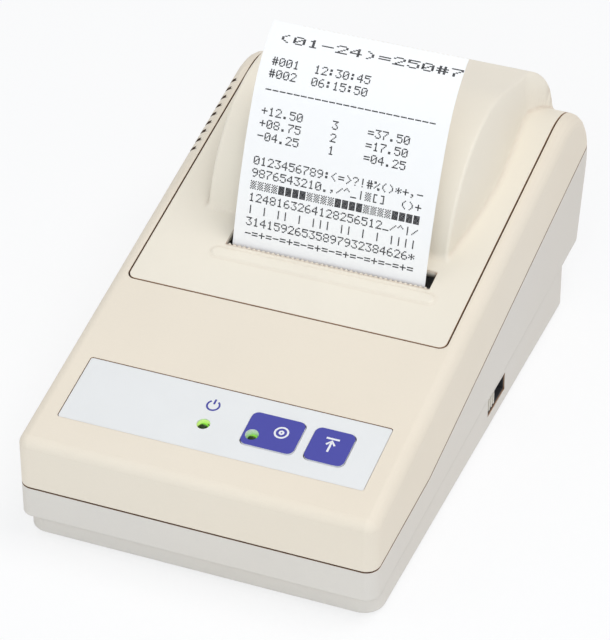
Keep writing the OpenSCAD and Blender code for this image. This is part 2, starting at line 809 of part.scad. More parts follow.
module guide_shafts() color(steel) for (y = rod_y)
    along_x(plate_left_x - 0.3, y, rod_z)
        cylinder(r = shaft_r, h = plate_right_x - plate_left_x + plate_t + 0.6);

module platen() color(black)
    translate([plate_left_x + plate_t, print_y + 0.6, 36.5])
        cube([plate_right_x - plate_left_x - plate_t, 3.8, 5]);

module print_head() color(black) {
    translate([paper_x - 8, -20.5, 28.9]) cube([16, 8, 9.4]);
    translate([paper_x - 6, -12.6, 30]) cube([12, 3.2, 8]);
    translate([paper_x - 2, -9.5, 33]) cube([4, 1.7, 4.6]);
    for (i = [0:3]) translate([paper_x - 6.5 + 4 * i, -21.5, 29.5]) cube([1.2, 1.2, 8]);
}

module head_carriage() color(nylon) difference() {
    union() {
        translate([paper_x - 9, carriage_y, 24.2]) cube([18, 17, 4.7]);
        translate([paper_x - 1.5, drum_y - 1.5, drum_z + 3.4]) cube([3, 3, 2]);
    }
    for (y = rod_y) along_x(paper_x - 12, y, rod_z) cylinder(r = shaft_r + fit, h = 24);
}

// Film cable on the front face of the carriage; it travels with the head
module head_cable() color("peru")
    translate([paper_x - 7, carriage_y - 0.3, frame_z + plate_t + 0.6]) cube([14, 0.3, 12.4]);

module cam_drum() color(nylon) {
    along_x(plate_left_x + plate_t + 0.3, drum_y, drum_z)
        cylinder(r = 3.2, h = plate_right_x - plate_left_x - plate_t - 0.6);
    along_x(layer_b - 0.5, drum_y, drum_z)
        cylinder(r = shaft_r, h = plate_right_x - layer_b + plate_t + 1.5);
}

module cam_gear() color(nylon)
    along_x(layer_b, drum_y, drum_z) rotate(cam_turn) spur(cam_n, gear_w, shaft_r);

module drive_motor() color(steel) difference() {
    union() {
        along_x(plate_left_x + plate_t, motor_y, motor_z) cylinder(r = motor_r, h = 23);
        along_x(plate_left_x - 0.6, motor_y, motor_z) cylinder(r = 2.8, h = 27);
    }
    along_x(plate_left_x - 1, motor_y, motor_z) cylinder(r = 1.06, h = 6);
}

module motor_pinion() color("goldenrod") {
    along_x(layer_a, motor_y, motor_z) spur(pinion_n, gear_w, 0.9);
    along_x(layer_a, motor_y, motor_z) cylinder(r = 1, h = 5.4);
}

module reduction_gear() color(nylon) {
    along_x(layer_a, big_p[0], big_p[1]) rotate(big_turn) spur(big_n, gear_w, 1.05);
    along_x(layer_b, big_p[0], big_p[1]) spur(small_n, layer_a - layer_b + e, 1.05);
}

module idler_gear() color(nylon)
    along_x(layer_b, idler_p[0], idler_p[1]) rotate(idler_turn) spur(idler_n, gear_w, 1.05);

module gear_studs() color(steel) for (p = [big_p, idler_p])
    along_x(layer_b - 0.6, p[0], p[1]) {
        cylinder(r = 1, h = plate_left_x - layer_b + 1.6);
        translate([0, 0, -0.5]) cylinder(r = 1.8, h = 0.8);
    }

module feed_gear() color(nylon)
    along_x(layer_b, feed_y, feed_z) rotate(feed_turn) spur(feed_n, gear_w, shaft_r);

module feed_shaft() color(steel)
    along_x(layer_b - 0.5, feed_y, feed_z) cylinder(r = shaft_r, h = plate_right_x - layer_b + 7.5);

module feed_roller() color(black) along_x(paper_x - 31, feed_y, feed_z) difference() {
    cylinder(r = feed_r, h = 62);
    translate([0, 0, -e]) cylinder(r = shaft_r, h = 63);
}

module feed_knob() color(white) along_x(plate_right_x + 2.2, feed_y, feed_z) difference() {
    union() {
        cylinder(r = 6, h = 4);
        for (i = [0:11]) rotate(30 * i) translate([6, 0, 0]) cylinder(r = 0.5, h = 4, $fn = 16);
    }
    translate([0, 0, -e]) cylinder(r = shaft_r, h = 6);
}

module pressure_roller() color(black) {
    along_x(paper_x - 30, feed_y, pressure_z) cylinder(r = pressure_r, h = 60);
    along_x(plate_left_x - 0.3, feed_y, pressure_z)
        cylinder(r = shaft_r, h = plate_right_x - plate_left_x + plate_t + 0.6);
}

// Sheet metal chute that leads the paper up from the roll to the feed roller
module paper_guide() color(steel)
    side_prism_at(plate_left_x + plate_t, plate_right_x - plate_left_x - plate_t, [
        [14, frame_z + plate_t], [13, frame_z + plate_t], [13, 24],
        [10.6, 26.2], [11.2, 26.9], [14, 24.4]
    ]);

cassette_z = 39.8;

module ribbon_cassette() color(black) difference() {
    union() {
        translate([-39, -23, cassette_z]) cube([79, 14, 4]);
        for (x = [-27.2, 34.6]) translate([x, -12, 32]) cube([2.4, 4.4, 8]);
    }
    translate([-33, -17.5, cassette_z - 1]) cylinder(r = 4.6, h = 4);
    translate([-33, -17.5, cassette_z + 2]) cylinder(r = 2.6, h = 4);
    translate([-20, -10.8, cassette_z - 1]) cube([50, 3, 6]);
}

module ribbon() color([0.2, 0.2, 0.25]) translate([-27, -7.6, 32.6]) cube([64, 0.2, 6.4]);

module ribbon_spool() color(nylon) {
    translate([-33, -17.5, cassette_z + 0.4]) cylinder(r = 4.3, h = 2.4);
    translate([-33, -17.5, cassette_z]) cylinder(r = 2.4, h = 4.9);
    translate([-33.4, -19.4, cassette_z + 4.8]) cube([0.8, 3.8, 0.8]);
}

// ---------- paper supply ----------

cradle_in_r = 28;
cradle_t = 1.5;
spindle_r = 3;
cradle_left_x = paper_x - 32;
cradle_right_x = paper_x + 30.5;
leg_y = [32, 56];

module cradle_end(x0) {
    along_x(x0, roll_y, roll_z) difference() {
        cylinder(r = cradle_in_r + cradle_t, h = cradle_t, $fn = 96);
        translate([-40, 6, -1]) cube([80, 60, 5]);
        translate([-spindle_r - 0.02, 0, -1]) cube([2 * spindle_r + 0.04, 20, 5]);
        translate([0, 0, -1]) cylinder(r = spindle_r + 0.02, h = 5);
        translate([-60, -60, -1]) cube([40, 80, 5]);
    }
}

module roll_cradle() color(grey_beige) {
    along_x(cradle_left_x, roll_y, roll_z) difference() {
        cylinder(r = cradle_in_r + cradle_t, h = cradle_right_x - cradle_left_x + cradle_t, $fn = 96);
        translate([0, 0, -1]) cylinder(r = cradle_in_r, h = 80, $fn = 96);
        translate([-60, -8, -1]) cube([120, 60, 80]);
        translate([-60, -60, -1]) cube([44, 80, 80]);
    }
    cradle_end(cradle_left_x);
    cradle_end(cradle_right_x);
    for (x = [paper_x - 25, paper_x + 25], y = leg_y) {
        under_trough = roll_z - sqrt(pow(cradle_in_r + 0.7, 2) - pow(y - roll_y, 2));
        translate([x, y, floor_z]) cylinder(r = 2.5, h = under_trough - floor_z);
    }
}

module roll_spindle() color(nylon) {
    along_x(cradle_left_x - 1.2, roll_y, roll_z)
        cylinder(r = spindle_r, h = cradle_right_x - cradle_left_x + cradle_t + 2.4);
    along_x(paper_x - 29.9, roll_y, roll_z) cylinder(r = 5, h = 59.8);
}

module paper_roll() color(white) along_x(paper_x - paper_w / 2 + 0.3, roll_y, roll_z) difference() {
    cylinder(r = roll_r, h = paper_w - 0.6, $fn = 96);
    translate([0, 0, -e]) cylinder(r = 6.5, h = paper_w);
}

module paper_core() color("burlywood")
    along_x(paper_x - paper_w / 2 + 0.3, roll_y, roll_z) difference() {
        cylinder(r = 6.5, h = paper_w - 0.6);
        translate([0, 0, -e]) cylinder(r = 5 + fit, h = paper_w);
    }

function shifted(path, t) = [for (i = [len(path) - 1:-1:0])
    let (
        a = path[max(i - 1, 0)],
        b = path[min(i + 1, len(path) - 1)],
        u = (b - a) / norm(b - a)
    ) path[i] + t * [u[1], -u[0]]];

module paper_web() color(white)
    side_prism_at(paper_x - paper_w / 2, paper_w, concat(web_path, shifted(web_path, paper_t)));

module paper_strip() color(white) {
    from = 180 - exit_angle;
    mid = from - strip_turn;
    strip_cy = exit_y + strip_r * cos(exit_angle);
    strip_cz = exit_z - strip_r * sin(exit_angle);
    curl_cy = strip_cy + (strip_r - curl_r) * cos(mid);
    curl_cz = strip_cz + (strip_r - curl_r) * sin(mid);
    path = concat(
        arc_points(strip_cy, strip_cz, strip_r, from, mid, 12),
        arc_points(curl_cy, curl_cz, curl_r, mid - curl_turn / 10, mid - curl_turn, 9)
    );
    side_prism_at(paper_x - paper_w / 2, paper_w, concat(path, shifted(path, paper_t)));
}

// ---------- assembly ----------

lower_case();
upper_case();
rubber_feet();
case_screws();
printer_cover();
tear_bar();
hinge_pins();
panel_label();
select_key();
feed_key();
power_lamp();
select_lamp();
panel_board();
panel_screws();
select_switch();
feed_switch();
main_board();
board_screws();
processor_chip();
memory_chips();
capacitors();
driver_heat_sink();
power_switch_body();
power_switch_slider();
connector_board();
interface_connector();
power_inlet();
mechanism_frame();
frame_screws();
guide_shafts();
platen();
print_head();
head_carriage();
head_cable();
cam_drum();
cam_gear();
drive_motor();
motor_pinion();
reduction_gear();
idler_gear();
feed_gear();
gear_studs();
feed_roller();
feed_shaft();
feed_knob();
pressure_roller();
paper_guide();
ribbon_cassette();
ribbon();
ribbon_spool();
roll_cradle();
roll_spindle();
paper_roll();
paper_core();
paper_web();
paper_strip();
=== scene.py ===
"""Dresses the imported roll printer: finishes, the moulded cover skin, keys and printed paper."""

import json
import logging
import math
from dataclasses import dataclass, field
from enum import Enum
from typing import ClassVar, Iterable, Mapping, Optional, Sequence, Union

import bmesh
import bpy
import numpy as np
from mathutils import Matrix, Vector

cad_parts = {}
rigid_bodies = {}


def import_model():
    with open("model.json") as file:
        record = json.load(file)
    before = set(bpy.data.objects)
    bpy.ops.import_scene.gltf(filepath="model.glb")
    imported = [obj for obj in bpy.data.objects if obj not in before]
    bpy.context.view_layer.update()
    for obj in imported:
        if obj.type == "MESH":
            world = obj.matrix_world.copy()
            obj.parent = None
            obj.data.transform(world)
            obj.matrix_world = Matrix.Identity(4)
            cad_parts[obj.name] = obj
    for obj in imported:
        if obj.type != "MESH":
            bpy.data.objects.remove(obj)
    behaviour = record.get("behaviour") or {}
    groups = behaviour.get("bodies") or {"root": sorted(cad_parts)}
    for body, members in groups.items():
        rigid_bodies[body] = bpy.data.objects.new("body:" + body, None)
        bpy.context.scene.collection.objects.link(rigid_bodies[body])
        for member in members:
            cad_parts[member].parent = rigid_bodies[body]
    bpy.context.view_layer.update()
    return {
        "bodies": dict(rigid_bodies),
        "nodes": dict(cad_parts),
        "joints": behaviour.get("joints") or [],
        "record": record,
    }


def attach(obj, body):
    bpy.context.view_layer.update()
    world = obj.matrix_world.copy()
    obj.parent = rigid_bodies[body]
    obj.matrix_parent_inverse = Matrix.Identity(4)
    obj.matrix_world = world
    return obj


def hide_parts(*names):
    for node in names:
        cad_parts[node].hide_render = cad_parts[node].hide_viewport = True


LOG = logging.getLogger("printer")
MM = 0.001
PER_METRE = 1000.0
MERGE_MM = 1e-4
DECK_START_MM = (-92.0, 34.4)
DECK_SLOPE_DEG = 11.1
Colour = tuple[float, float, float]
Number = Union[int, float]

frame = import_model()


def linear(red: Number, green: Number, blue: Number) -> Colour:
    """Turns a screen colour into the linear one that shaders use.

    Args:
        red: Red from 0 to 255.
        green: Green from 0 to 255.
        blue: Blue from 0 to 255.

    Returns:
        The linear colour, each part from 0 to 1.
    """

    def part(value: float) -> float:
        """One channel, from 0 to 1."""
        return value / 12.92 if value <= 0.04045 else ((value + 0.055) / 1.055) ** 2.4

    return (part(red / 255), part(green / 255), part(blue / 255))


def shade(colour: Colour, factor: float) -> Colour:
    """A lighter or darker version of a linear colour."""
    return tuple(min(1.0, c * factor) for c in colour)


# ---------- shader graph ----------


class Channel:
    """One number output of a shader graph, usable in Python expressions."""

    def __init__(self, graph: "ShaderGraph", socket: bpy.types.NodeSocket) -> None:
        """Wraps a socket of a graph."""
        self.graph = graph
        self.socket = socket

    def _join(self, operation: str, other: object = None, swapped: bool = False) -> "Channel":
        """Adds a Math node.

        Args:
            operation: The Math node's operation.
            other: The second operand, a number or a channel.
            swapped: Whether the other operand comes first.

        Returns:
            The node's result.
        """
        values = [self] if other is None else [self, other]
        if swapped:
            values.reverse()
        made = self.graph.node("ShaderNodeMath", {"operation": operation}, dict(enumerate(values)))
        return Channel(self.graph, made.outputs[0])

    def __add__(self, other: object) -> "Channel":
        """Sum."""
        return self._join("ADD", other)

    def __radd__(self, other: object) -> "Channel":
        """Sum, reflected."""
        return self._join("ADD", other, True)

    def __sub__(self, other: object) -> "Channel":
        """Difference."""
        return self._join("SUBTRACT", other)

    def __rsub__(self, other: object) -> "Channel":
        """Difference, reflected."""
        return self._join("SUBTRACT", other, True)

    def __mul__(self, other: object) -> "Channel":
        """Product."""
        return self._join("MULTIPLY", other)

    def __rmul__(self, other: object) -> "Channel":
        """Product, reflected."""
        return self._join("MULTIPLY", other, True)

    def __truediv__(self, other: object) -> "Channel":
        """Quotient."""
        return self._join("DIVIDE", other)

    def __pow__(self, other: object) -> "Channel":
        """Power."""
        return self._join("POWER", other)

    def sine(self) -> "Channel":
        """Sine of the channel in radians."""
        return self._join("SINE")

    def fraction(self) -> "Channel":
        """The part after the decimal point."""
        return self._join("FRACT")

    def root(self) -> "Channel":
        """Square root."""
        return self._join("SQRT")

    def above(self, limit: object) -> "Channel":
        """1 where the channel is above the limit, else 0."""
        return self._join("GREATER_THAN", limit)

    def below(self, limit: object) -> "Channel":
        """1 where the channel is below the limit, else 0."""
        return self._join("LESS_THAN", limit)

    def most(self, other: object) -> "Channel":
        """The larger of two."""
        return self._join("MAXIMUM", other)


class ShaderGraph:
    """A node tree with a few plain ways to add to it."""

    def __init__(self, tree: bpy.types.NodeTree) -> None:
        """Wraps a node tree."""
        self.tree = tree

    def node(
        self,
        kind: str,
        settings: Optional[Mapping[str, object]] = None,
        values: Optional[Mapping[Union[str, int], object]] = None,
    ) -> bpy.types.Node:
        """Adds one node.

        Args:
            kind: The node's type name.
            settings: Its own settings, set first.
            values: Numbers, colours, sockets or channels for its inputs.

        Returns:
            The node.
        """
        made = self.tree.nodes.new(kind)
        for key, value in (settings or {}).items():
            setattr(made, key, value)
        for key, value in (values or {}).items():
            self.plug(made.inputs[key], value)
        return made

    def plug(self, socket: bpy.types.NodeSocket, value: object) -> None:
        """Links or sets one input.

        Args:
            socket: The input.
            value: A channel, socket, number, vector or colour.
        """
        if isinstance(value, Channel):
            value = value.socket
        if isinstance(value, bpy.types.NodeSocket):
            self.tree.links.new(value, socket)
        elif socket.type == "RGBA" and len(value) == 3:
            socket.default_value = (*value, 1.0)
        else:
            socket.default_value = value

    def seen(self, *rays: str) -> Channel:
        """1 where a surface is met by one of the named kinds of ray, else 0."""
        path = self.node("ShaderNodeLightPath")
        first, *rest = (Channel(self, path.outputs[ray]) for ray in rays)
        for channel in rest:
            first = first.most(channel)
        return first


class FinishGraph(ShaderGraph):
    """A material's node tree round its Principled shader."""

    def __init__(self, name: str) -> None:
        """Starts an empty material with a Principled shader."""
        self.material = bpy.data.materials.new(name)
        self.material.use_nodes = True
        super().__init__(self.material.node_tree)
        self.shader = next(n for n in self.tree.nodes if n.type == "BSDF_PRINCIPLED")
        self.place = self.node("ShaderNodeTexCoord").outputs["Object"]

    def set(self, **constants: object) -> None:
        """Sets or links inputs of the shader; an underscore in a name stands for a space."""
        for key, value in constants.items():
            self.plug(self.shader.inputs[key.replace("_", " ")], value)

    def stretched(
        self, scale: Optional[Sequence[float]], turn: Sequence[float] = (0, 0, 0)
    ) -> bpy.types.NodeSocket:
        """Object coordinates, stretched and turned.

        Args:
            scale: Factors along X, Y and Z, or None for the plain coordinates.
            turn: Rotation in radians.

        Returns:
            The vector socket.
        """
        if scale is None:
            return self.place
        values = {"Vector": self.place, "Scale": scale, "Rotation": turn}
        return self.node("ShaderNodeMapping", None, values).outputs["Vector"]

    def noise(
        self,
        size_mm: float,
        detail: float = 3.0,
        rough: float = 0.55,
        stretch: Optional[Sequence[float]] = None,
    ) -> Channel:
        """Noise with features of a given size.

        Args:
            size_mm: Feature size in millimetres.
            detail: Octaves.
            rough: Weight of the finer octaves.
            stretch: Factors along X, Y and Z, if it isn't even.

        Returns:
            The noise value, around 0.5.
        """
        values = {
            "Vector": self.stretched(stretch),
            "Scale": PER_METRE / size_mm,
            "Detail": detail,
            "Roughness": rough,
        }
        return Channel(self, self.node("ShaderNodeTexNoise", None, values).outputs[0])

    def cells(self, size_mm: float) -> Channel:
        """Distance from the nearest of many scattered points.

        Args:
            size_mm: Mean spacing of the points in millimetres.

        Returns:
            The distance.
        """
        values = {"Vector": self.place, "Scale": PER_METRE / size_mm}
        made = self.node("ShaderNodeTexVoronoi", {"feature": "F1"}, values)
        return Channel(self, made.outputs["Distance"])

    def crevice(self, reach_mm: float) -> Channel:
        """1 deep in narrow gaps and 0 on open surfaces.

        Args:
            reach_mm: Distance within which a neighbouring surface counts.

        Returns:
            The mask.
        """
        made = self.node("ShaderNodeAmbientOcclusion", {"samples": 8}, {"Distance": reach_mm * MM})
        return (1.0 - Channel(self, made.outputs["AO"])) ** 1.25

    def axis(self, index: int) -> Channel:
        """One object coordinate in millimetres, 0 for X, 1 for Y and 2 for Z."""
        split = self.node("ShaderNodeSeparateXYZ", None, {0: self.place})
        return Channel(self, split.outputs[index]) * PER_METRE

    def facing(self, index: int) -> Channel:
        """One part of the surface's own normal, 0 for X, 1 for Y and 2 for Z."""
        normal = self.node("ShaderNodeTexCoord").outputs["Normal"]
        split = self.node("ShaderNodeSeparateXYZ", None, {0: normal})
        return Channel(self, split.outputs[index])

    def blend(
        self, factor: object, low: object, high: object, mode: str = "MIX"
    ) -> bpy.types.NodeSocket:
        """Mixes two colours.

        Args:
            factor: Share of the second colour.
            low: First colour.
            high: Second colour.
            mode: Blend type.

        Returns:
            The colour socket.
        """
        settings = {"data_type": "RGBA", "blend_type": mode, "clamp_factor": True}
        return self.node("ShaderNodeMix", settings, {0: factor, 6: low, 7: high}).outputs[2]

    def relief(
        self, height: object, depth_mm: float, strength: float, soft_mm: float = 0.0
    ) -> None:
        """Bumps the surface, on softened edges if asked.

        Args:
            height: The height channel.
            depth_mm: Height in millimetres of a step from 0 to 1.
            strength: Strength of the effect.
            soft_mm: Radius with which edges are softened.
        """
        values = {"Height": height, "Distance": depth_mm * MM, "Strength": strength}
        if soft_mm:
            bevel = self.node("ShaderNodeBevel", {"samples": 6}, {"Radius": soft_mm * MM})
            values["Normal"] = bevel.outputs[0]
        self.set(Normal=self.node("ShaderNodeBump", None, values).outputs[0])


# ---------- finishes ----------


@dataclass(frozen=True)
class Finish:
    """What all finishes share: a name, a colour and how rough the surface is."""

    name: str
    colour: Colour
    roughness: float = 0.5

    def made(self) -> bpy.types.Material:
        """The finish's material, built once."""
        found = bpy.data.materials.get(self.name)
        if found:
            return found
        graph = FinishGraph(self.name)
        self.build(graph)
        return graph.material

    def build(self, graph: FinishGraph) -> None:
        """Fills the graph; each kind of finish has its own."""
        raise NotImplementedError


@dataclass(frozen=True)
class MouldedPlastic(Finish):
    """Plastic with a spark-eroded grain, a slow drift in tone, soft edges and painted shade in its
    crevices.
    """

    grain_mm: float = 0.28
    grain_depth_mm: float = 0.012
    drift: float = 0.035
    aged: Colour = linear(232, 212, 176)
    ageing: float = 0.10
    soft_mm: float = 0.35
    # painted shade: the next two colours darken seams, gaps and recesses where ambient occlusion
    # finds them
    dust_and_crevice_shade: Colour = linear(200, 150, 104)
    crevice_shade: Colour = linear(70, 44, 24)
    cloud_mm: float = 38.0
    aged_patch_mm: float = 95.0
    wear_mm: float = 9.0
    crevice_mm: float = 1.2

    def build(self, graph: FinishGraph) -> None:
        """Fills the graph."""
        cloud = graph.noise(self.cloud_mm, 2.0)
        speck = graph.noise(self.grain_mm * 2.2, 1.0)
        pale, dark = shade(self.colour, 1 + self.drift), shade(self.colour, 1 - self.drift)
        tone = graph.blend(cloud, dark, pale)
        warm = graph.noise(self.aged_patch_mm, 1.0) * (2 * self.ageing)
        tone = graph.blend(warm, tone, self.aged, "MULTIPLY")
        tone = graph.blend(speck * 0.10, tone, shade(self.colour, 0.78))
        # painted shade: ambient occlusion darkens seams, gaps and recesses in two brown steps
        depth = graph.crevice(self.crevice_mm)
        tone = graph.blend(depth * 3.0, tone, self.dust_and_crevice_shade, "MULTIPLY")
        tone = graph.blend(depth, tone, self.crevice_shade, "MULTIPLY")
        graph.set(Base_Color=self.marked(graph, tone))
        wear = graph.noise(self.wear_mm, 4.0)
        graph.set(Roughness=self.roughness - 0.06 + wear * 0.12, Specular_IOR_Level=0.45)
        pits = graph.cells(self.grain_mm) * 0.7 + graph.noise(self.grain_mm * 0.7, 2.0) * 0.6
        graph.relief(pits, self.grain_depth_mm, 0.55, self.soft_mm)

    def marked(self, graph: FinishGraph, tone: bpy.types.NodeSocket) -> bpy.types.NodeSocket:
        """Adds local marks to the colour; plain mouldings have none."""
        return tone


@dataclass(frozen=True)
class VentedPlastic(MouldedPlastic):
    """Case plastic with painted shade in the vents and a painted glow of the lamp's light on the
    wall of its hole.
    """

    first_vent_mm: float = 29.0
    vent_pitch_mm: float = 3.9
    vents: int = 9
    vent_half_mm: float = 0.74
    vent_wall_mm: float = -49.95
    vent_off_deck_mm: tuple[float, float] = (-14.02, -0.38)
    vent_shade: Colour = linear(74, 52, 36)
    lamp_mm: tuple[float, float] = (-5.3, -71.3)
    lamp_reach_mm: float = 2.6
    painted_lamp_glow: Colour = linear(214, 230, 150)
    lamp_strength: float = 0.36

    def marked(self, graph: FinishGraph, tone: bpy.types.NodeSocket) -> bpy.types.NodeSocket:
        """Paints shade on the cut faces of the vents and paints the lamp's glow on the wall round
        the lamp.
        """
        # painted shade: the vents' cut faces take a dark brown, as if lying in shade
        x, y, z = (graph.axis(i) for i in range(3))
        turns = (y - (self.first_vent_mm - self.vent_half_mm)) / self.vent_pitch_mm
        inside = turns.fraction().below(2 * self.vent_half_mm / self.vent_pitch_mm)
        inside = inside * turns.above(0.0) * turns.below(float(self.vents))
        inside = inside * x.below(self.vent_wall_mm)
        front, start = DECK_START_MM
        off_deck = z - (y - front) * math.tan(math.radians(DECK_SLOPE_DEG)) - start
        low, high = self.vent_off_deck_mm
        inside = inside * off_deck.above(low) * off_deck.below(high)
        # painted glow: the case wall round the lamp takes the lamp's green and emits it
        across, along = x - self.lamp_mm[0], y - self.lamp_mm[1]
        beside = (across * across + along * along).root().below(self.lamp_reach_mm)
        glow = graph.blend(beside, (0.0, 0.0, 0.0), self.painted_lamp_glow)
        graph.set(Emission_Color=glow, Emission_Strength=self.lamp_strength)
        return graph.blend(beside, graph.blend(inside, tone, self.vent_shade), self.painted_lamp_glow)


@dataclass(frozen=True)
class RolledSteel(Finish):
    """Sheet or bar steel with drawing lines along one axis."""

    lines: Sequence[float] = (0.04, 1.0, 1.0)
    line_mm: float = 0.5
    stain: float = 0.12

    def build(self, graph: FinishGraph) -> None:
        """Fills the graph."""
        drawn = graph.noise(self.line_mm, 4.0, 0.7, self.lines)
        patch = graph.noise(14.0, 3.0)
        tone = graph.blend(patch, shade(self.colour, 1 - self.stain), self.colour)
        graph.set(Base_Color=graph.blend(drawn * 0.3, tone, shade(self.colour, 0.72)))
        graph.set(Metallic=1.0, Roughness=self.roughness - 0.08 + drawn * 0.16)
        graph.relief(drawn, 0.01, 0.4, 0.12)


@dataclass(frozen=True)
class SoftRubber(Finish):
    """Rubber with a fine ground surface and a little dust."""

    ground: Sequence[float] = (1.0, 1.0, 1.0)

    def build(self, graph: FinishGraph) -> None:
        """Fills the graph."""
        ground = graph.noise(0.25, 3.0, 0.6, self.ground)
        dust_and_crevice_shade = graph.noise(6.0, 4.0) ** 3.0
        graph.set(Base_Color=graph.blend(dust_and_crevice_shade * 0.9, self.colour, shade(self.colour, 3.2)))
        graph.set(Roughness=self.roughness - 0.05 + ground * 0.15, Specular_IOR_Level=0.3)
        graph.relief(ground, 0.02, 0.6, 0.15)


@dataclass(frozen=True)
class PaperSheet(Finish):
    """Uncoated paper: short fibres, a faint cloudiness and a soft tooth."""

    def build(self, graph: FinishGraph) -> None:
        """Fills the graph."""
        fibre = graph.noise(0.22, 4.0, 0.65, (1.0, 0.35, 0.35))
        cloud = graph.noise(3.5, 3.0)
        tone = graph.blend(cloud, shade(self.colour, 0.985), self.colour)
        graph.set(Base_Color=graph.blend(fibre * 0.08, tone, shade(self.colour, 0.86)))
        graph.set(Roughness=0.82 + fibre * 0.1, Specular_IOR_Level=0.2)
        graph.relief(fibre, 0.012, 0.4)


@dataclass(frozen=True)
class WoundPaper(Finish):
    """A wound roll along X: its turns show on both ends."""

    centre_mm: tuple[float, float] = (44.0, 46.0)
    turn_mm: float = 0.5
    dark: float = 0.8

    def build(self, graph: FinishGraph) -> None:
        """Fills the graph."""
        across = graph.axis(1) - self.centre_mm[0]
        up = graph.axis(2) - self.centre_mm[1]
        radius = (across * across + up * up).root()
        wobble = graph.noise(7.0, 2.0) * 0.5
        turns = ((radius + wobble) * (2 * math.pi / self.turn_mm)).sine() * 0.5 + 0.5
        end = graph.facing(0) * graph.facing(0)
        tone = graph.blend(graph.noise(4.0, 2.0), shade(self.colour, 0.97), self.colour)
        graph.set(Base_Color=graph.blend(turns * end * 0.5, tone, shade(self.colour, self.dark)))
        graph.set(Roughness=0.8 + turns * 0.08, Specular_IOR_Level=0.2)
        graph.relief(turns * end, 0.05, 0.5)


@dataclass(frozen=True)
class PrintedFilm(Finish):
    """Satin overlay film, printed from behind."""

    def build(self, graph: FinishGraph) -> None:
        """Fills the graph."""
        etch = graph.noise(0.12, 2.0)
        cloud = graph.noise(12.0, 2.0)
        graph.set(Base_Color=graph.blend(cloud, shade(self.colour, 0.97), shade(self.colour, 1.02)))
        graph.set(Roughness=self.roughness - 0.04 + etch * 0.1, Specular_IOR_Level=0.3)
        graph.relief(etch, 0.006, 0.5, 0.12)


@dataclass(frozen=True)
class Lens(Finish):
    """Tinted lamp lens, lit from within on the side away from the printer's front, with painted
    shade on the half towards the front.
    """

    lit_y_mm: float = -71.5
    fade_mm: float = 0.8
    dark: float = 0.04

    def build(self, graph: FinishGraph) -> None:
        """Fills the graph."""
        swirl = graph.noise(0.8, 2.0)
        lit = (graph.axis(1) - self.lit_y_mm) / self.fade_mm + (swirl - 0.5) * 0.6
        tone = graph.blend(swirl, shade(self.colour, 0.85), shade(self.colour, 1.15))
        # painted shade: the half towards the front, deep in its hole, is darkened by the dark
        # factor
        tone = graph.blend(lit, shade(self.colour, self.dark), tone)
        graph.set(Base_Color=tone, Emission_Color=tone, Emission_Strength=0.45)
        graph.set(Roughness=0.28 + swirl * 0.08, Specular_IOR_Level=0.2)
        graph.relief(swirl, 0.01, 0.2)


@dataclass(frozen=True)
class CircuitBoard(Finish):
    """Solder mask over copper tracks, with small tinned pads."""

    upright: bool = False

    def build(self, graph: FinishGraph) -> None:
        """Fills the graph."""
        turn = (math.pi / 2, 0.0, 0.0) if self.upright else (0.0, 0.0, 0.0)
        bricks = graph.node(
            "ShaderNodeTexBrick",
            {"offset": 0.35, "squash": 0.6, "squash_frequency": 3},
            {
                "Vector": graph.stretched((1, 1, 1), turn),
                "Scale": 260.0,
                "Mortar Size": 0.06,
                "Mortar Smooth": 0.2,
                "Brick Width": 1.9,
                "Row Height": 0.33,
            },
        )
        gate = graph.noise(7.0, 1.0).above(0.47)
        tracks = Channel(graph, bricks.outputs["Fac"]) * gate
        pads = graph.cells(2.54).below(0.17)
        cloud = graph.noise(20.0, 2.0)
        tone = graph.blend(cloud, shade(self.colour, 0.85), shade(self.colour, 1.1))
        tone = graph.blend(tracks * 0.8, tone, shade(self.colour, 1.9))
        graph.set(Base_Color=graph.blend(pads, tone, linear(196, 198, 200)))
        graph.set(Metallic=pads * 0.9, Roughness=0.3 + pads * 0.08 + graph.noise(3.0, 2.0) * 0.06)
        graph.relief(tracks * 0.4 + pads * 0.8, 0.06, 0.6)


@dataclass(frozen=True)
class Package(Finish):
    """Moulded chip or connector body with a matt skin."""

    def build(self, graph: FinishGraph) -> None:
        """Fills the graph."""
        skin = graph.noise(0.2, 3.0)
        bloom = graph.noise(5.0, 3.0)
        graph.set(Base_Color=graph.blend(bloom * 0.6, self.colour, shade(self.colour, 1.8)))
        graph.set(Roughness=self.roughness - 0.08 + skin * 0.16)
        graph.relief(skin, 0.012, 0.5, 0.12)


@dataclass(frozen=True)
class SleevedCan(Finish):
    """Shrink-sleeved can with a bare aluminium top and a pale polarity stripe."""

    def build(self, graph: FinishGraph) -> None:
        """Fills the graph."""
        top = graph.facing(2).above(0.7)
        stripe = graph.facing(1).below(-0.93)
        sheen = graph.noise(1.2, 2.0)
        tone = graph.blend(sheen, shade(self.colour, 0.85), shade(self.colour, 1.15))
        tone = graph.blend(stripe, tone, linear(205, 208, 214))
        graph.set(Base_Color=graph.blend(top, tone, linear(186, 188, 190)))
        graph.set(Metallic=top * 0.95, Roughness=0.32 + top * 0.1 + sheen * 0.06)
        graph.relief(sheen, 0.015, 0.3, 0.3)


@dataclass(frozen=True)
class StripedFilm(Finish):
    """Flat film cable: copper conductors under amber film."""

    pitch_mm: float = 1.0

    def build(self, graph: FinishGraph) -> None:
        """Fills the graph."""
        lanes = (graph.axis(0) / self.pitch_mm).fraction()
        copper = lanes.above(0.3) * lanes.below(0.75)
        worn = graph.noise(2.0, 3.0)
        tone = graph.blend(worn, shade(self.colour, 0.8), self.colour)
        graph.set(Base_Color=graph.blend(copper * 0.85, tone, linear(196, 128, 74)))
        graph.set(Metallic=copper * 0.6, Roughness=0.25 + worn * 0.1, Coat_Weight=0.5)
        graph.relief(copper, 0.03, 0.4)


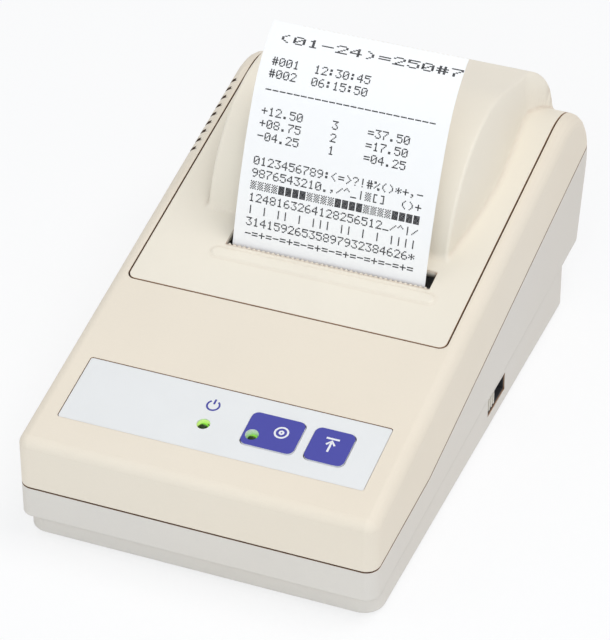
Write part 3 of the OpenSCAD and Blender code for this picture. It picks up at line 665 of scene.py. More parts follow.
@dataclass(frozen=True)
class InkedFabric(Finish):
    """Woven nylon ribbon, soaked in ink."""

    thread_mm: float = 0.22

    def build(self, graph: FinishGraph) -> None:
        """Fills the graph."""
        warp, weft = ((graph.axis(i) * (2 * math.pi / self.thread_mm)).sine() for i in (0, 2))
        weave = warp * weft * 0.5 + 0.5
        wet = graph.noise(5.0, 2.0)
        graph.set(Base_Color=graph.blend(weave * 0.5, self.colour, shade(self.colour, 2.2)))
        graph.set(Roughness=0.5 + wet * 0.25)
        graph.relief(weave, 0.03, 0.6)


@dataclass(frozen=True)
class WoundCard(Finish):
    """Card tube with the spiral lines of its winding."""

    def build(self, graph: FinishGraph) -> None:
        """Fills the graph."""
        fibre = graph.noise(0.4, 4.0, 0.6, (0.3, 1.0, 1.0))
        winding = ((graph.axis(0) * 0.12 + graph.axis(2) * 0.05).fraction()).below(0.04)
        tone = graph.blend(fibre, shade(self.colour, 0.75), shade(self.colour, 1.2))
        graph.set(Base_Color=graph.blend(winding * 0.6, tone, shade(self.colour, 0.5)))
        graph.set(Roughness=0.8 + fibre * 0.1, Specular_IOR_Level=0.2)
        graph.relief(fibre, 0.03, 0.5)


@dataclass(frozen=True)
class PrintInk(Finish):
    """Ink dots that the ribbon left on the paper, darker here and paler there."""

    def build(self, graph: FinishGraph) -> None:
        """Fills the graph."""
        fade = graph.noise(1.6, 3.0)
        graph.set(Base_Color=graph.blend(fade * 0.7, self.colour, shade(self.colour, 3.0)))
        graph.set(Roughness=0.7 + fade * 0.2, Specular_IOR_Level=0.2)
        graph.relief(fade, 0.01, 0.3)


AGED_WHITE = linear(236, 222, 190)
IVORY = MouldedPlastic("cover_ivory_plastic", linear(241, 234, 219), 0.48, 0.24, 0.008)
VENTED_BEIGE = VentedPlastic("case_beige_vented", linear(238, 228, 211), 0.55, 0.32, 0.014)
SLIDER = MouldedPlastic(
    "switch_slider_pale",
    linear(232, 228, 216),
    0.45,
    # the slider's painted crevice shade is kept pale
    dust_and_crevice_shade=(1.0, 1.0, 1.0),
    crevice_shade=linear(205, 200, 190),
)
GREY_BEIGE = MouldedPlastic("case_grey_plastic", linear(224, 219, 211), 0.58, 0.32, 0.014)
FOOT = SoftRubber("foot_rubber_grey", linear(58, 58, 60), 0.75)
ROLLER = SoftRubber("roller_rubber_black", linear(38, 38, 40), 0.7, (0.15, 1.0, 1.0))
PLATEN = SoftRubber("platen_rubber_black", linear(34, 34, 36), 0.6)
LABEL = PrintedFilm("label_film_white", linear(233, 233, 231), 0.42)
KEY_BLUE = PrintedFilm("key_film_blue", linear(72, 73, 160), 0.45)
KEY_WHITE = PrintedFilm("key_film_white", linear(238, 238, 240), 0.36)
LAMP = Lens("lamp_lens_green", linear(132, 208, 62))
BOARD = CircuitBoard("board_green_mask", linear(28, 92, 52))
BOARD_UPRIGHT = CircuitBoard("board_green_mask_upright", linear(28, 92, 52), upright=True)
SWITCH = Package("switch_black_body", linear(40, 40, 42), 0.45)
CHIP = Package("chip_black_body", linear(34, 34, 36), 0.6)
HEAD = Package("head_black_body", linear(30, 31, 34), 0.5)
CASSETTE = MouldedPlastic(
    "cassette_black_plastic",
    linear(44, 44, 47),
    grain_mm=0.3,
    drift=0.1,
    aged=linear(210, 210, 215),
    ageing=0.0,
    soft_mm=0.25,
)
CAN = SleevedCan("capacitor_sleeve_blue", linear(48, 58, 108))
HEAT_SINK = RolledSteel("heat_sink_aluminium", linear(196, 199, 202), 0.42, (1.0, 0.05, 1.0))
CONNECTOR = RolledSteel("connector_tinned_steel", linear(190, 190, 186), 0.35)
SCREW = RolledSteel("screw_zinc_steel", linear(196, 196, 188), 0.36, (1.0, 1.0, 1.0), 0.3)
FRAME_STEEL = RolledSteel("frame_plated_steel", linear(190, 192, 196), 0.4, (1.0, 0.06, 1.0), 0.7)
SHAFT = RolledSteel("shaft_ground_steel", linear(208, 210, 213), 0.22, (1.0, 0.08, 0.08), 0.3, 0.05)
MOTOR = RolledSteel("motor_can_steel", linear(178, 180, 184), 0.36, (1.0, 0.1, 0.1), 0.4)
BRASS = RolledSteel("pinion_cut_brass", linear(204, 168, 92), 0.3, (0.2, 1.0, 1.0), 0.3)
NYLON = MouldedPlastic(
    "gear_white_nylon", linear(233, 230, 218), 0.42, 0.5, 0.006, 0.03, AGED_WHITE, soft_mm=0.1
)
KNOB = MouldedPlastic(
    "knob_white_plastic", linear(226, 226, 222), 0.45, 0.4, 0.006, 0.03, AGED_WHITE, 0.08, 0.15
)
CABLE = StripedFilm("cable_amber_film", linear(176, 120, 58))
RIBBON = InkedFabric("ribbon_inked_nylon", linear(24, 24, 30))
PAPER = PaperSheet("paper_white_sheet", linear(253, 252, 250))
ROLL = WoundPaper("paper_wound_roll", linear(246, 246, 244))
CARD = WoundCard("core_wound_card", linear(176, 138, 96))
INK = PrintInk("print_ribbon_ink", linear(22, 22, 26))


# ---------- shaping ----------


def cleaned(mesh: bmesh.types.BMesh) -> bmesh.types.BMesh:
    """Merges doubles, turns the faces outwards and returns the same mesh."""
    bmesh.ops.remove_doubles(mesh, verts=mesh.verts, dist=MERGE_MM)
    bmesh.ops.recalc_face_normals(mesh, faces=mesh.faces)
    return mesh


def stored(name: str, mesh: bmesh.types.BMesh) -> bpy.types.Mesh:
    """Keeps a mesh under work as a named block of data and frees it."""
    data = bpy.data.meshes.new(name)
    mesh.to_mesh(data)
    mesh.free()
    return data


def linked(name: str, data: bpy.types.ID) -> bpy.types.Object:
    """Makes an object of a block of data and puts it into the scene."""
    made = bpy.data.objects.new(name, data)
    bpy.context.scene.collection.objects.link(made)
    return made


def aimed(made: bpy.types.Object, place: Vector, direction: Vector) -> None:
    """Puts a camera or lamp at its place, in metres, and points it along a direction."""
    made.location = place
    made.rotation_mode = "QUATERNION"
    made.rotation_quaternion = direction.to_track_quat("-Z", "Y")


def absorb(mesh: bmesh.types.BMesh, part: bmesh.types.BMesh) -> None:
    """Adds a part to a mesh and frees the part."""
    scratch = stored("part", part)
    mesh.from_mesh(scratch)
    bpy.data.meshes.remove(scratch)


def thicken(
    mesh: bmesh.types.BMesh, faces: Sequence[bmesh.types.BMFace], height: float
) -> list[bmesh.types.BMFace]:
    """Extrudes faces along Z.

    Args:
        mesh: The mesh under work.
        faces: The faces.
        height: How far they move.

    Returns:
        The moved faces.
    """
    made = bmesh.ops.extrude_face_region(mesh, geom=faces)["geom"]
    moved = [v for v in made if isinstance(v, bmesh.types.BMVert)]
    bmesh.ops.translate(mesh, vec=(0, 0, height), verts=moved)
    return [f for f in made if isinstance(f, bmesh.types.BMFace)]


def bevel(
    mesh: bmesh.types.BMesh,
    geom: Sequence[object],
    offset: float,
    segments: int,
    affect: str = "EDGES",
) -> list[bmesh.types.BMFace]:
    """Rounds edges or corners.

    Args:
        mesh: The mesh under work.
        geom: The edges or corners.
        offset: Size of the rounding.
        segments: Steps across it.
        affect: EDGES or VERTICES.

    Returns:
        The new faces.
    """
    made = bmesh.ops.bevel(
        mesh, geom=geom, offset=offset, segments=segments, profile=0.5, material=-1, affect=affect
    )
    return made["faces"]


def rounded_plate(
    width: float, depth: float, height: float, corner: float, edge: float
) -> bmesh.types.BMesh:
    """A plate with round corners and a soft top edge, its top at Z 0.

    Args:
        width: Size along X in millimetres.
        depth: Size along Y.
        height: Thickness.
        corner: Radius of the corners in plan.
        edge: Radius of the top edge.

    Returns:
        The mesh, in millimetres.
    """
    mesh = bmesh.new()
    bmesh.ops.create_grid(mesh, x_segments=1, y_segments=1, size=0.5)
    bmesh.ops.scale(mesh, vec=(width, depth, 1), verts=mesh.verts)
    bevel(mesh, mesh.verts[:], corner, 8, "VERTICES")
    mesh.faces.ensure_lookup_table()
    top = mesh.faces[0]
    if top.normal.z < 0:
        top.normal_flip()
    cap = thicken(mesh, [top], height)[0]
    bevel(mesh, list(cap.edges), edge, 4)
    bmesh.ops.translate(mesh, vec=(0, 0, -height), verts=mesh.verts)
    return cleaned(mesh)


def turned(profile: Sequence[tuple[float, float]], steps: int = 48) -> bmesh.types.BMesh:
    """A body of revolution about X.

    Args:
        profile: Points (along X, radius), in millimetres.
        steps: Facets round the axis.

    Returns:
        The mesh, in millimetres.
    """
    mesh = bmesh.new()
    verts = [mesh.verts.new((x, 0.0, r)) for x, r in profile]
    edges = [mesh.edges.new(pair) for pair in zip(verts, verts[1:])]
    bmesh.ops.spin(
        mesh,
        geom=verts + edges,
        cent=(0, 0, 0),
        axis=(1, 0, 0),
        angle=2 * math.pi,
        steps=steps,
        use_merge=True,
    )
    return cleaned(mesh)


def peg(radius: float, low: float, high: float, steps: int) -> bmesh.types.BMesh:
    """An upright round peg about Z.

    Args:
        radius: Its radius in millimetres.
        low: Height of its lower end.
        high: Height of its upper end.
        steps: Facets round the axis.

    Returns:
        The mesh, in millimetres.
    """
    mesh = turned([(low, 0.0), (low, radius), (high, radius), (high, 0.0)], steps)
    upright = Matrix.Rotation(-math.pi / 2, 3, "Y")
    bmesh.ops.rotate(mesh, cent=(0, 0, 0), matrix=upright, verts=mesh.verts)
    return mesh


def strip_plate(
    points: Sequence[tuple[float, float]], width: float, height: float
) -> bmesh.types.BMesh:
    """A flat stroke of a given width along a line of points, as a thin plate from Z 0 up.

    Args:
        points: The stroke's centre line in X and Y.
        width: Its width.
        height: Its thickness.

    Returns:
        The mesh, in millimetres.
    """
    mesh = bmesh.new()
    line = np.array(points, float)
    closed = bool(np.allclose(line[0], line[-1]))
    run = np.gradient(line, axis=0)
    if closed:
        run[0] = run[-1] = line[1] - line[-2]
    run /= np.linalg.norm(run, axis=1)[:, None]
    side = np.stack([-run[:, 1], run[:, 0]], 1) * width / 2
    edges = []
    for middle, half in zip(line, side):
        ends = [mesh.verts.new((*place, 0.0)) for place in (middle + half, middle - half)]
        edges.append(mesh.edges.new(ends))
    for first, second in zip(edges, edges[1:]):
        bmesh.ops.bridge_loops(mesh, edges=[first, second])
    bmesh.ops.remove_doubles(mesh, verts=mesh.verts, dist=MERGE_MM)
    thicken(mesh, mesh.faces[:], height)
    return cleaned(mesh)


def arc(radius: float, start: float, end: float, steps: int) -> list[tuple[float, float]]:
    """Points of an arc about the origin, its angles in degrees."""
    turns = np.radians(np.linspace(start, end, steps + 1))
    return [(radius * math.cos(t), radius * math.sin(t)) for t in turns]


class Workshop:
    """Turns meshes into pieces that ride on the frame's bodies, and dresses CAD nodes."""

    def __init__(self, packed: Mapping[str, object]) -> None:
        """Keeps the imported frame."""
        self.nodes = packed["nodes"]
        groups = packed["record"]["behaviour"]["bodies"]
        self.body_of = {node: body for body, members in groups.items() for node in members}

    def piece(
        self,
        name: str,
        mesh: bmesh.types.BMesh,
        body: str,
        finishes: Sequence[Finish],
        slot: str,
        replaces: Iterable[str] = (),
        sharp_deg: float = 35.0,
        weighted: bool = True,
        scale: float = MM,
    ) -> bpy.types.Object:
        """Makes a piece of a mesh.

        Args:
            name: The piece's name.
            mesh: Its mesh, which is freed here.
            body: The body it rides on.
            finishes: Finishes, in the order of the faces' material numbers.
            slot: The record's material slot; not used.
            replaces: CAD nodes that it stands for.
            sharp_deg: Angle above which an edge stays sharp.
            weighted: Whether large faces hold their own shading.
            scale: Metres per unit of the mesh.

        Returns:
            The object.
        """
        bmesh.ops.scale(mesh, vec=(scale,) * 3, verts=mesh.verts)
        data = stored(name, mesh)
        data.shade_smooth()
        data.set_sharp_from_angle(angle=math.radians(sharp_deg))
        made = linked(name, data)
        for finish in finishes:
            data.materials.append(finish.made())
        if weighted:
            made.modifiers.new("even_shading", "WEIGHTED_NORMAL").keep_sharp = True
        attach(made, body)
        if replaces:
            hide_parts(*replaces)
        LOG.info("piece %s on %s, %d faces", name, body, len(data.polygons))
        return made

    def smoothed(self, node: str, finish: Finish, slot: str) -> None:
        """Copies a CAD node with its loose triangles merged and its curves shaded smooth.

        Args:
            node: The node that the copy stands for.
            finish: Its finish.
            slot: The record's material slot.
        """
        mesh = bmesh.new()
        mesh.from_mesh(self.nodes[node].data)
        bmesh.ops.remove_doubles(mesh, verts=mesh.verts, dist=2e-6)
        bmesh.ops.dissolve_limit(
            mesh,
            angle_limit=math.radians(0.2),
            use_dissolve_boundaries=False,
            verts=mesh.verts,
            edges=mesh.edges,
        )
        for face in mesh.faces:
            face.material_index = 0
        body = self.body_of[node]
        self.piece(node + "_smooth", mesh, body, [finish], slot, [node], sharp_deg=32.0, scale=1.0)

    def dress(self, node: str, finish: Finish) -> None:
        """Gives a CAD node that stays in view its finish.

        Args:
            node: The node.
            finish: Its finish.
        """
        data = self.nodes[node].data
        data.materials.clear()
        data.materials.append(finish.made())
        LOG.info("dressed %s in %s", node, finish.name)


@dataclass
class Deck:
    """The sloping top of the printer, on which the panel and the cover lie."""

    front_y: float = DECK_START_MM[0]
    front_z: float = DECK_START_MM[1]
    slope: float = math.radians(DECK_SLOPE_DEG)

    def height(self, y: Union[float, np.ndarray]) -> Union[float, np.ndarray]:
        """Height of the deck at depth y, in millimetres."""
        return self.front_z + (y - self.front_y) * math.tan(self.slope)

    def along(self, y: float) -> float:
        """Distance up the slope of a place at depth y."""
        return (y - self.front_y) / math.cos(self.slope)

    def placed(self, x: float = 0.0, up: float = 0.0, out: float = 0.0) -> Matrix:
        """The place on the deck at x, up the slope and out of the surface, in millimetres."""
        base = Matrix.Translation((0, self.front_y, self.front_z))
        return base @ Matrix.Rotation(self.slope, 4, "X") @ Matrix.Translation((x, up, out))


# ---------- sub-assemblies ----------


@dataclass
class Assembly:
    """Nodes that keep the shape of the CAD: round ones as smooth copies, plain ones as they are."""

    shop: Workshop
    smooth: ClassVar[Mapping[str, tuple[Finish, str]]] = {}
    plain: ClassVar[Mapping[str, Finish]] = {}

    def build(self) -> None:
        """Builds the smooth copies and dresses the plain nodes."""
        for node, (finish, slot) in self.smooth.items():
            self.shop.smoothed(node, finish, slot)
        for node, finish in self.plain.items():
            self.shop.dress(node, finish)


@dataclass
class CaseShells(Assembly):
    """The two case halves with what is screwed or stuck to them."""

    smooth = {
        "upper_case": (VENTED_BEIGE, "case_beige"),
        "lower_case": (GREY_BEIGE, "case_grey"),
        "rubber_feet": (FOOT, "foot_rubber"),
        "power_switch_slider": (SLIDER, "case_beige"),
    }
    plain = {"case_screws": SCREW, "power_switch_body": SWITCH}


@dataclass
class PrinterCover(Assembly):
    """The hinged cover: one skin with the dome blended into the deck, hinge barrel and ribs.

    The skin is the zero level of a signed distance, found along rays that leave a pivot inside
    the dome in side view. Sizes are in millimetres; spans are stretches of evenly spaced grid
    lines across, each with its ends and its number of lines; ray says how near to the pivot and
    how far from it the skin can be.
    """

    smooth = {"hinge_pins": (SHAFT, "zinc_steel")}
    plain = {"tear_bar": IVORY}
    deck: Deck = field(default_factory=Deck)
    half: float = 48.2
    front_y: float = -26.15
    corner: float = 2.2
    wall: float = 2.3
    rear_centre: tuple[float, float] = (70.0, 43.757)
    rear_radius: float = 22.0
    barrel: tuple[float, float, float] = (44.0, 45.0, 38.5)
    crest: tuple[float, float, float] = (76.6, 67.1, 8.5)
    ridge_half: float = 37.0
    draft: float = 0.15
    ridge_soft: float = 0.95
    foot_soft: float = 1.6
    flare: float = 6.0
    flare_from: tuple[float, float] = (72.0, 75.5)
    flare_run: float = 13.0
    flare_power: float = 0.6
    slot_x: tuple[float, float] = (-26.25, 36.25)
    slot_y: tuple[float, float] = (-5.9, 0.8)
    rib_centre: tuple[float, float] = (5.0, -9.6)
    rib_size: tuple[float, float] = (68.0, 3.6)
    rib_height: float = 0.45
    rib_soft: float = 0.9
    hinge: tuple[float, float] = (86.302, 52.615)
    lip_radius: float = 3.2
    pin_radius: float = 1.55
    pivot: tuple[float, float] = (44.0, 30.0)
    ray: tuple[float, float] = (8.0, 90.0)
    spans: Sequence[tuple[float, float, int]] = (
        (0, 33, 24),
        (33.6, 35.8, 6),
        (36.0, 38.1, 13),
        (38.5, 45.8, 20),
    )
    dome_rows: int = 178
    halvings: int = 36
    least_step: float = 0.12
    below_dome: float = 60.0
    pin_bore: float = 5.5
    lip_chamfer: float = 0.4
    side_rib: tuple[float, float, float] = (1.2, 76.0, 2.3)
    side_rib_taper: float = 0.955
    side_rib_at: tuple[float, float, float] = (45.2, 46.0, -3.35)

    def _base_gap(self, y: np.ndarray, z: np.ndarray) -> np.ndarray:
        """Distance above the plain cover without its dome, in side view.

        Args:
            y: Depths.
            z: Heights.

        Returns:
            Signed distances, negative inside.
        """
        cy, cz = self.rear_centre
        c, s = math.cos(self.deck.slope), math.sin(self.deck.slope)
        along = (y - cy) * c + (z - cz) * s
        off = -(y - cy) * s + (z - cz) * c
        return np.where(along <= 0, off, np.hypot(y - cy, z - cz)) - self.rear_radius

    def _hood_gap(self, y: np.ndarray, z: np.ndarray) -> np.ndarray:
        """Distance above the dome's side view, which is two circles and the band between them.

        Args:
            y: Depths.
            z: Heights.

        Returns:
            Signed distances, negative inside.
        """
        (ay, az, ar), (by, bz, br) = self.barrel, self.crest
        span = math.hypot(by - ay, bz - az)
        uy, uz = (by - ay) / span, (bz - az) / span
        along = (y - ay) * uy + (z - az) * uz
        off = np.abs(-(y - ay) * uz + (z - az) * uy)
        lean = (ar - br) / span
        rise = math.sqrt(1 - lean * lean)
        k = along * rise - off * lean
        first = np.hypot(y - ay, z - az) - ar
        second = np.hypot(y - by, z - bz) - br
        band = off * rise + along * lean - ar
        return np.where(k < 0, first, np.where(k > span * rise, second, band))

    @staticmethod
    def _soft_join(a: np.ndarray, b: np.ndarray, soft: float) -> np.ndarray:
        """Union of two distances with a fillet of the given size."""
        h = np.clip(soft - np.abs(a - b), 0, None) / soft
        return np.minimum(a, b) - h * h * soft / 4

    def _gap(self, x: np.ndarray, y: np.ndarray, z: np.ndarray) -> np.ndarray:
        """Distance above the whole cover.

        Args:
            x: Places across.
            y: Depths.
            z: Heights.

        Returns:
            Signed distances, negative inside.
        """
        hood = self._hood_gap(y, z)
        behind = np.clip((y - self.flare_from[0]) / self.flare_run, 0, 1)
        below = np.clip((self.flare_from[1] - z) / self.flare_run, 0, 1) ** self.flare_power
        half = self.ridge_half - self.draft * np.minimum(hood, 0) + self.flare * behind * below
        flank = (np.abs(x) - half) / math.hypot(1, self.draft)
        dome = -self._soft_join(-hood, -flank, self.ridge_soft)
        return self._soft_join(self._base_gap(y, z), dome, self.foot_soft)

    def _surface(self, x: np.ndarray, turn: np.ndarray) -> tuple[np.ndarray, np.ndarray]:
        """Where rays from the pivot leave the cover.

        Args:
            x: Places across.
            turn: Directions of the rays in side view, in radians.

        Returns:
            Depths and heights of the surface.
        """
        (y, z), cosine, sine = self.pivot, np.cos(turn), np.sin(turn)
        low, high = (np.full_like(x, end) for end in self.ray)
        for _ in range(self.halvings):
            mid = (low + high) / 2
            inside = self._gap(x, y + mid * cosine, z + mid * sine) < 0
            low, high = np.where(inside, mid, low), np.where(inside, high, mid)
        return y + low * cosine, z + low * sine

    def _columns(self) -> np.ndarray:
        """Places of the skin's grid lines across, closer where the skin bends."""
        edge = self.half - self.corner + self.corner * np.sin(self._quarter())
        half = np.concatenate([*(np.linspace(*span) for span in self.spans), edge])
        ends = self.rib_size[0] / 2 - np.linspace(-0.6, 2.6, 9)  # close lines at the rib's ends
        both = [half, -half, self.slot_x, self.rib_centre[0] - ends, self.rib_centre[0] + ends]
        lines = np.unique(np.round(np.concatenate(both), 3))
        kept = [lines[0]]
        for line in lines[1:]:
            if line - kept[-1] >= self.least_step:
                kept.append(line)
            elif line in self.slot_x:
                kept[-1] = line
        return np.array(kept)

    @staticmethod
    def _quarter() -> np.ndarray:
        """Angles over a quarter turn, for the steps of a rounded corner."""
        return np.radians(np.linspace(0, 90, 8))

    def _rows(self) -> np.ndarray:
        """Directions of the skin's grid lines from the front edge to the rear lip, in radians."""
        coarse, fine, margin, end = 1.4, 0.3, 0.9, self.front_y + self.corner
        rib = [self.rib_centre[1] + side * self.rib_size[1] / 2 for side in (-1, 1)]
        depths = [
            self.front_y + self.corner * (1 - np.cos(self._quarter())),
            np.arange(end + coarse, rib[0] - margin - fine, coarse),
            np.arange(rib[0] - margin, rib[1] + margin, fine),
            np.linspace(*self.slot_y, 5),
        ]
        depths = np.unique(np.round(np.concatenate(depths), 3))
        front = np.arctan2(self.deck.height(depths) - self.pivot[1], depths - self.pivot[0])
        lip_z = self.hinge[1]
        rise = lip_z - self.rear_centre[1]
        lip_y = self.rear_centre[0] + math.sqrt(self.rear_radius**2 - rise**2)
        last = math.atan2(lip_z - self.pivot[1], lip_y - self.pivot[0])
        rest = np.linspace(front[-1], last, self.dome_rows)[1:]
        return np.concatenate([front, rest])

    def _rib_rise(self, x: np.ndarray, y: np.ndarray) -> np.ndarray:
        """Height of the low lozenge rib in front of the slot.

        Args:
            x: Places across.
            y: Depths.

        Returns:
            Heights out of the deck.
        """
        half_w, half_d = self.rib_size[0] / 2, self.rib_size[1] / 2
        dx = np.clip(np.abs(x - self.rib_centre[0]) - (half_w - half_d), 0, None)
        dy = (y - self.rib_centre[1]) / math.cos(self.deck.slope)
        edge = half_d - np.hypot(dx, dy)
        t = np.clip(edge / self.rib_soft + 0.5, 0, 1)
        return self.rib_height * t * t * (3 - 2 * t)

    def skin(self) -> None:
        """Moulds the skin over a grid, cuts the paper slot and gives it its wall."""
        columns, rows = self._columns(), self._rows()
        last = np.array([len(columns) - 1, len(rows) - 1])
        mesh = bmesh.new()
        bmesh.ops.create_grid(mesh, x_segments=int(last[0]), y_segments=int(last[1]), size=1.0)
        mesh.verts.ensure_lookup_table()
        place = np.array([v.co[:2] for v in mesh.verts])
        column, row = np.rint((place + 1) / 2 * last).astype(int).T
        x, turn = columns[column], rows[row]
        y, z = self._surface(x, turn)
        rise = self._rib_rise(x, y)
        y, z = y - rise * math.sin(self.deck.slope), z + rise * math.cos(self.deck.slope)
        across = (np.abs(x) - (self.half - self.corner)) / self.corner
        ahead = (self.front_y + self.corner - y) / self.corner
        round_off = (across > 0) & (ahead > 0)
        u, v = across[round_off], np.minimum(ahead[round_off], 1.0)
        side = np.sign(x[round_off])
        x[round_off] = side * (self.half - self.corner + self.corner * u * np.sqrt(1 - v * v / 2))
        y[round_off] = self.front_y + self.corner - self.corner * v * np.sqrt(1 - u * u / 2)
        z[round_off] = self.deck.height(y[round_off])
        for vert, at in zip(mesh.verts, np.stack([x, y, z], 1)):
            vert.co = at
        (x0, x1), (y0, y1) = self.slot_x, self.slot_y
        hole = []
        for face in mesh.faces:
            middle = face.calc_center_median()
            if x0 < middle.x < x1 and y0 < middle.y < y1 and middle.z < self.below_dome:
                hole.append(face)
        bmesh.ops.delete(mesh, geom=hole, context="FACES")
        bmesh.ops.recalc_face_normals(mesh, faces=mesh.faces)
        top = max(mesh.faces, key=lambda f: f.calc_center_median().z)
        if top.normal.z < 0:
            bmesh.ops.reverse_faces(mesh, faces=mesh.faces)
        made = self.shop.piece(
            "cover_skin",
            mesh,
            "cover",
            [IVORY],
            "cover_ivory",
            ["printer_cover"],
            sharp_deg=50.0,
            weighted=False,
        )
        wall = made.modifiers.new("wall", "SOLIDIFY")
        wall.thickness = self.wall * MM
        wall.offset = -1.0
        wall.use_even_offset = True

    def hinge_barrel(self) -> None:
        """The rolled lip at the rear that takes the hinge pins."""
        end, pin, lip, chamfer = self.half, self.pin_radius, self.lip_radius, self.lip_chamfer
        bore = end - self.pin_bore
        right = [(bore, 0.0), (bore, pin), (end, pin), (end, lip - chamfer), (end - chamfer, lip)]
        left = [(-x, radius) for x, radius in right]
        mesh = turned(left + right[::-1])
        bmesh.ops.translate(mesh, vec=(0, *self.hinge), verts=mesh.verts)
        self.shop.piece("cover_hinge_barrel", mesh, "cover", [IVORY], "cover_ivory")

    def side_ribs(self) -> None:
        """Two stiffening ribs along the underside, tapered at both ends."""
        mesh = bmesh.new()
        x, up, out = self.side_rib_at
        for side in (-1, 1):
            verts = bmesh.ops.create_cube(mesh, size=1.0)["verts"]
            bmesh.ops.scale(mesh, vec=self.side_rib, verts=verts)
            for vert in verts:
                if vert.co.z < 0:
                    vert.co.y *= self.side_rib_taper
            edges = list({e for v in verts for e in v.link_edges})
            verts = list({v for f in bevel(mesh, edges, 0.25, 2) for v in f.verts})
            place = self.deck.placed(side * x, self.deck.along(self.front_y) + up, out)
            bmesh.ops.transform(mesh, matrix=place, verts=verts)
        self.shop.piece("cover_side_ribs", cleaned(mesh), "cover", [IVORY], "cover_ivory")

    def build(self) -> None:
        """Builds and dresses the cover."""
        self.skin()
        self.hinge_barrel()
        self.side_ribs()
        super().build()


class Sign(Enum):
    """The generic signs on the panel."""

    POWER = "power"
    READY = "ready"
    FEED = "feed"


